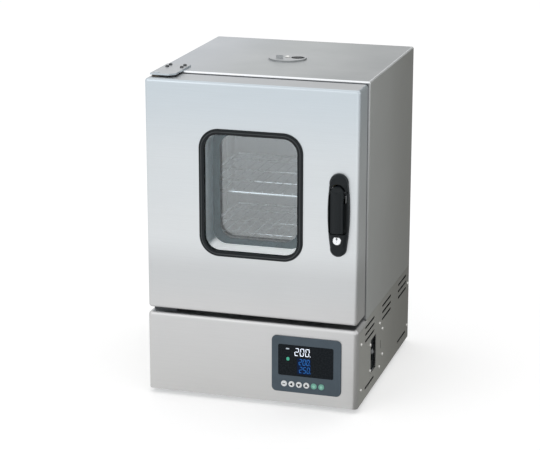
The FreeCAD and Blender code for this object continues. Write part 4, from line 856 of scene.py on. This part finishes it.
def top_of(low, high, way):
    """The middle of the face of a box that looks the given way."""
    ends = ((low[i] + high[i]) / 2 if way[i] == 0 else high[i] if way[i] > 0 else low[i]
            for i in range(3))
    return Vector(tuple(ends))


print("points nearer than", DOUBLES, "m are merged")

# %% All the screws
PANEL_HEAD, UPPER_HINGE_HEAD, LOWER_HINGE_HEAD = 0.0018, 0.0026, 0.0016
BETWEEN_HINGES = 0.4
FIRST_SPIN, NEXT_SPIN = 0.4, 1.7


def head_height(node, top):
    """How far a screw's head stands out of its panel or its hinge."""
    if node == "panel_screws":
        return PANEL_HEAD
    return UPPER_HINGE_HEAD if top.z > BETWEEN_HINGES else LOWER_HINGE_HEAD


def screws_for(node, finish):
    """Puts a crossed head on each screw of a node, each turned a little further than the last."""
    groups = {}
    for low, high in places_of(node):
        way = outward_of(low, high)
        top = top_of(low, high, way)
        width = sorted(high - low)[1]
        height = head_height(node, top)
        group = groups.setdefault(height, [])
        turn = Vector((0, 0, 1)).rotation_difference(way).to_matrix().to_4x4()
        spin = Matrix.Rotation(FIRST_SPIN + NEXT_SPIN * len(group), 4, "Z")
        seat = Matrix.Translation(top - way * height)
        group.append((width / 2, seat @ turn @ spin))
    parts = []
    for height, items in groups.items():
        head = cross_screw(items[0][0], height)
        parts.append(copies(head, [matrix for _, matrix in items], node + "_heads"))
    whole = merged(parts, "crossed_" + node)
    finished(whole, finishes[finish], "cabinet")
    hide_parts(node)


screws_for("panel_screws", "bright_screws")
screws_for("hinge_screws", "dark_screws")

# %% [markdown]
# ## Wire shelves
# A shelf is a bent rod frame with thin wires welded across it, polished until each wire throws a
# bright line. The frame starts as a rectangle whose corners are bevelled round; its outline
# becomes a curve, and the curve's own bevel gives the rod. The wires are one cylinder each, copied
# at an even pitch.

# %% Round bars
BAR_SIDES = 14
BAR_END_SHARE = 0.35
BEND_STEPS, ROD_STEPS = 10, 3


def bar(radius, start, end):
    """A round bar between two points that differ along one axis."""
    span = end - start
    bpy.ops.mesh.primitive_cylinder_add(vertices=BAR_SIDES, radius=radius, depth=span.length,
                                        location=(0, 0, 0))
    made = bpy.context.object
    choose(made, "EDGE", lambda m: abs(abs(m.z) - span.length / 2) < HAIR)
    bpy.ops.mesh.bevel(offset=radius * BAR_END_SHARE, segments=1)
    bpy.ops.object.mode_set(mode="OBJECT")
    made.data.transform(Vector((0, 0, 1)).rotation_difference(span).to_matrix().to_4x4())
    made.data.transform(Matrix.Translation((start + end) / 2))
    return made


def round_ring(width, depth, bend, radius):
    """A round bar bent into a flat rectangle with round corners, about the origin."""
    bpy.ops.mesh.primitive_plane_add(size=1, location=(0, 0, 0))
    ring = bpy.context.object
    ring.data.transform(Matrix.Diagonal((width, depth, 1, 1)))
    choose(ring, "VERT", lambda m: True)
    bpy.ops.mesh.bevel(offset=bend, segments=BEND_STEPS, affect="VERTICES")
    bpy.ops.mesh.select_all(action="SELECT")
    bpy.ops.mesh.delete(type="ONLY_FACE")
    bpy.ops.object.mode_set(mode="OBJECT")
    only(ring)
    bpy.ops.object.convert(target="CURVE")
    bpy.context.object.data.bevel_depth = radius
    bpy.context.object.data.bevel_resolution = ROD_STEPS
    bpy.ops.object.convert(target="MESH")
    return bpy.context.object


print("sides of a bar", BAR_SIDES)

# %% Two shelves
ROD, CROSS, WIRE = 0.0025, 0.0020, 0.00125
ROD_BEND = 0.008
WELD_SINK, WIRE_OVERHANG = 0.00025, 0.001
WIRE_PITCH, CROSS_PITCH = 0.019, 0.079


def wire_shelf(node):
    """A shelf of round wires in the place of the frame's plain one."""
    low, high = (Vector(corner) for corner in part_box(node))
    low += Vector((ROD, ROD, ROD))
    high -= Vector((ROD, ROD, 0))
    middle = (low.x + high.x) / 2
    frame_rod = round_ring(high.x - low.x, high.y - low.y, ROD_BEND, ROD)
    frame_rod.data.transform(Matrix.Translation((middle, (low.y + high.y) / 2, low.z)))
    parts = [frame_rod]
    cross_z = low.z + ROD - CROSS
    y = low.y + CROSS_PITCH
    while y < high.y - CROSS_PITCH / 3:
        parts.append(bar(CROSS, Vector((low.x, y, cross_z)), Vector((high.x, y, cross_z))))
        y += CROSS_PITCH
    wire_z = low.z + ROD + WIRE - WELD_SINK
    first = bar(WIRE, Vector((0, low.y - WIRE_OVERHANG, wire_z)),
                Vector((0, high.y + WIRE_OVERHANG, wire_z)))
    count = int((high.x - low.x - 2 * (ROD + WIRE)) / WIRE_PITCH) + 1
    moves = [Matrix.Translation((middle + (i - (count - 1) / 2) * WIRE_PITCH, 0, 0))
             for i in range(count)]
    parts.append(copies(first, moves, node + "_wires"))
    whole = merged(parts, "round_" + node)
    finished(whole, finishes["wire_steel"], node)
    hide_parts(node)


wire_shelf("upper_shelf")
wire_shelf("lower_shelf")

# %% [markdown]
# ## Filler strip of the window
# A window rubber of this kind is locked by a thin strip pressed into the middle of its face, and
# the strip shows as a fine line all round the window. It is the same bent bar as the frame of a
# shelf, stood upright and sunk into the rubber.

# %% Filler strip
FILLER_RADIUS, FILLER_SINK = 0.0010, 0.0003
RUBBER_LIP, RUBBER_CORNER = 0.010, 0.037

low, high = (Vector(corner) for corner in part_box("window_gasket"))
strip = round_ring(high.x - low.x - RUBBER_LIP, high.z - low.z - RUBBER_LIP,
                   RUBBER_CORNER - RUBBER_LIP / 2, FILLER_RADIUS)
strip.data.transform(Matrix.Rotation(math.radians(90), 4, "X"))
strip.data.transform(Matrix.Translation(
    ((low.x + high.x) / 2, low.y + FILLER_SINK, (low.z + high.z) / 2)))
strip.name = "window_filler_strip"
finished(strip, moulded("filler_rubber", (0.030, 0.036, 0.040), 0.45, 900, 0.00003), "door")

# %% [markdown]
# ## Lit figures
# The display shows three rows of seven-bar figures: the warm white row above is what the chamber
# has, and the two blue rows below are what it was set to. One bar is a six-sided face, pulled long
# and given a thickness; every figure is made of copies of that bar, laid out on a slant. They give
# light of their own, a little, so that they read in any room.

# %% One bar of a figure
FIGURE_PROUD, FIGURE_DEPTH = 0.00012, 0.0002
BAR_CORNERS = 6
ALMOST_ALL, ALMOST_NOTHING = 0.99, 0.0001
LIT_GRAINS = (900, 900, 900)
LIT_DARKER = 0.85


def lit(name, colour, strength):
    """A finish that gives a little light of its own, slightly uneven."""
    finish, tree, shader = new_finish(name, Roughness=0.4, Specular_IOR_Level=0.1)
    uneven = pattern(tree, LIT_GRAINS, detail=2.0)
    glow = tint(tree, uneven, shade(colour, LIT_DARKER), colour)
    tree.links.new(glow, shader.inputs["Base Color"])
    tree.links.new(glow, shader.inputs["Emission Color"])
    shader.inputs["Emission Strength"].default_value = strength
    return finish


def thickened(piece, depth):
    """Gives a flat piece that stands in the XZ plane its thickness, towards the back."""
    choose(piece, "FACE", lambda m: True)
    bpy.ops.mesh.extrude_region_move(TRANSFORM_OT_translate={"value": (0, depth, 0)})
    bpy.ops.object.mode_set(mode="OBJECT")


def one_bar(length, width):
    """A flat bar with pointed ends along X, standing in the XZ plane."""
    bpy.ops.mesh.primitive_circle_add(vertices=BAR_CORNERS, radius=width / 2, fill_type="NGON",
                                      location=(0, 0, 0))
    made = bpy.context.object
    made.data.transform(Matrix.Rotation(math.radians(90), 4, "X"))
    bpy.ops.object.mode_set(mode="OBJECT")
    if max(abs(v.co.x) for v in made.data.vertices) < width / 2 * ALMOST_ALL:
        made.data.transform(Matrix.Rotation(math.radians(180 / BAR_CORNERS), 4, "Y"))
    for sign in (-1, 1):
        choose(made, "VERT", lambda m: m.x * sign > ALMOST_NOTHING * width)
        bpy.ops.transform.translate(value=(sign * (length - width) / 2, 0, 0))
    thickened(made, FIGURE_DEPTH)
    return made


print("bars are", FIGURE_DEPTH, "m thick")

# %% Rows of figures
PLATE_LOW, PLATE_HIGH = (Vector(corner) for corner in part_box("display_window"))
PLATE_WIDTH = PLATE_HIGH.x - PLATE_LOW.x
PLATE_HEIGHT = PLATE_HIGH.z - PLATE_LOW.z
SLANT_DEGREES = 7
SLANT = math.tan(math.radians(SLANT_DEGREES))
FIGURE_WIDTH, STROKE_WIDTH, BAR_LENGTH, POINT_GAP = 0.62, 0.10, 0.93, 1.5
# Each bar: how far across and how far up its middle is, and whether it stands.
BARS = {
    "top": (0.5, 1.0, 0), "middle": (0.5, 0.5, 0), "bottom": (0.5, 0.0, 0),
    "upper_left": (0.0, 0.75, 1), "upper_right": (1.0, 0.75, 1),
    "lower_left": (0.0, 0.25, 1), "lower_right": (1.0, 0.25, 1),
}
FIGURES = {
    "0": ("top", "bottom", "upper_left", "upper_right", "lower_left", "lower_right"),
    "2": ("top", "upper_right", "middle", "lower_left", "bottom"),
    "5": ("top", "upper_left", "middle", "lower_right", "bottom"),
}


def place_on_plate(share_x, share_down):
    """A point just before the display, by shares of its width and of its height from above."""
    return Vector((PLATE_LOW.x + share_x * PLATE_WIDTH, PLATE_LOW.y - FIGURE_PROUD,
                   PLATE_HIGH.z - share_down * PLATE_HEIGHT))


def figure_row(name, text, left, top, height, pitch, finish):
    """Slanted figures in a row and the point after the last one, from their upper left corner."""
    width = pitch * FIGURE_WIDTH
    thick = height * STROKE_WIDTH
    tall = height - thick
    half = tall / 2
    flat = Matrix.Diagonal((width / half, 1, 1, 1))
    standing = Matrix.Rotation(math.radians(90) - math.atan(SLANT), 4, "Y")
    corner = place_on_plate(left, top)
    foot = corner.z - height + thick / 2
    moves = []
    for index, figure in enumerate(text):
        for bar_name in FIGURES[figure]:
            across, up, stands = BARS[bar_name]
            x = corner.x + thick / 2 + index * pitch + across * width + SLANT * (up * tall)
            place = Matrix.Translation((x, corner.y, foot + up * tall))
            moves.append(place @ (standing if stands else flat))
    point = Matrix.Diagonal((thick / (half * BAR_LENGTH), 1, 1, 1))
    end_x = corner.x + thick + (len(text) - 1) * pitch + width + thick * POINT_GAP
    moves.append(Matrix.Translation((end_x, corner.y, foot)) @ point)
    row = copies(one_bar(half * BAR_LENGTH, thick), moves, name)
    finished(row, finish, "cabinet")


figure_row("white_figures", "200", left=0.292, top=0.085, height=0.0152, pitch=0.0100,
           finish=lit("lit_white", (0.78, 0.84, 0.95), 0.75))
figure_row("upper_blue_figures", "200", left=0.372, top=0.430, height=0.0118, pitch=0.0071,
           finish=lit("lit_blue", (0.022, 0.13, 0.42), 0.65))
figure_row("lower_blue_figures", "250", left=0.378, top=0.680, height=0.0122, pitch=0.0071,
           finish=lit("lit_blue_low", (0.020, 0.12, 0.38), 0.6))

# %% [markdown]
# ## Glow and lamps of the display
# Behind the blue rows the display glows a very deep blue, and two small lamps beside the figures
# say what the oven is doing. All three are plates with round corners: a plane is scaled to shares
# of the display, its corners are bevelled, and it gets the same thickness as the figures. The glow
# lies a little deeper, so the figures stand before it.

# %% Glow patch, green lamp and small white bar
PATCH_STEPS = 5


def flat_patch(name, left, right, top, bottom, corner, proud, finish):
    """A plate with round corners, laid on the display between shares of its width and height."""
    low = place_on_plate(left, bottom)
    high = place_on_plate(right, top)
    bpy.ops.mesh.primitive_plane_add(size=1, location=(0, 0, 0))
    made = bpy.context.object
    made.data.transform(Matrix.Rotation(math.radians(90), 4, "X"))
    made.data.transform(Matrix.Diagonal((high.x - low.x, 1, high.z - low.z, 1)))
    made.data.transform(Matrix.Translation(
        ((low.x + high.x) / 2, PLATE_LOW.y - proud, (low.z + high.z) / 2)))
    choose(made, "VERT", lambda m: True)
    bpy.ops.mesh.bevel(offset=corner, segments=PATCH_STEPS, affect="VERTICES")
    thickened(made, FIGURE_DEPTH)
    made.name = name
    finished(made, finish, "cabinet")


flat_patch("blue_glow", left=0.345, right=0.592, top=0.405, bottom=0.93, corner=0.002,
           proud=0.00005, finish=lit("deep_blue_glow", (0.001, 0.007, 0.030), 0.5))
flat_patch("green_lamp", left=0.150, right=0.204, top=0.405, bottom=0.515, corner=0.0020,
           proud=FIGURE_PROUD, finish=lit("lit_green", (0.06, 0.33, 0.22), 0.6))
flat_patch("small_white_bar", left=0.140, right=0.200, top=0.110, bottom=0.150, corner=0.0008,
           proud=FIGURE_PROUD, finish=lit("lit_small", (0.40, 0.45, 0.50), 0.5))

# %% [markdown]
# ## Marks on the keys
# A printed mark tells each key's use: a bar on the first, arrows on the next three, and a paler
# middle on the green ones. A print is a film with hardly any thickness. Each mark is a small face,
# shaped and given that thickness, and it rides on its own key, so it goes in with it. The grey
# shutter of the door's keyway is made the same way.

# %% Key marks
MARK_DEPTH = 0.00015
MARK_CORNER_SHARE, MARK_CORNER_STEPS = 0.12, 2
ink = moulded("dark_ink", (0.004, 0.006, 0.010), 0.5, 900, 0.00001, shine=0.12)
pale_green = moulded("pale_green_ink", (0.30, 0.62, 0.50), 0.5, 900, 0.00001)
grey_print = finishes["grey_plastic"]


def key_mark(node, sides, size, stretch, turn, finish):
    """A film in the middle of a node's front: a face with so many sides, turned and stretched."""
    low, high = (Vector(corner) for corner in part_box(node))
    middle = (low + high) / 2
    bpy.ops.mesh.primitive_circle_add(vertices=sides, radius=size, fill_type="NGON",
                                      location=(0, 0, 0))
    mark = bpy.context.object
    mark.data.transform(Matrix.Rotation(math.radians(turn), 4, "Z"))
    mark.data.transform(Matrix.Diagonal((stretch, 1, 1, 1)))
    mark.data.transform(Matrix.Rotation(math.radians(90), 4, "X"))
    mark.data.transform(Matrix.Translation((middle.x, low.y - MARK_DEPTH / 2, middle.z)))
    choose(mark, "VERT", lambda m: True)
    bpy.ops.mesh.bevel(offset=size * MARK_CORNER_SHARE, segments=MARK_CORNER_STEPS,
                       affect="VERTICES")
    thickened(mark, MARK_DEPTH)
    mark.name = node + "_mark"
    finished(mark, finish, node)


key_mark("set_button", sides=4, size=0.0016, stretch=2.3, turn=45, finish=grey_print)
key_mark("shift_button", sides=3, size=0.0036, stretch=1.0, turn=90, finish=ink)
key_mark("down_button", sides=3, size=0.0036, stretch=1.0, turn=180, finish=ink)
key_mark("up_button", sides=3, size=0.0036, stretch=1.0, turn=0, finish=ink)
key_mark("key_cylinder", sides=10, size=0.0024, stretch=0.7, turn=0, finish=grey_print)
key_mark("timer_button", sides=12, size=0.0026, stretch=1.0, turn=0, finish=pale_green)
key_mark("run_button", sides=12, size=0.0026, stretch=1.0, turn=0, finish=pale_green)
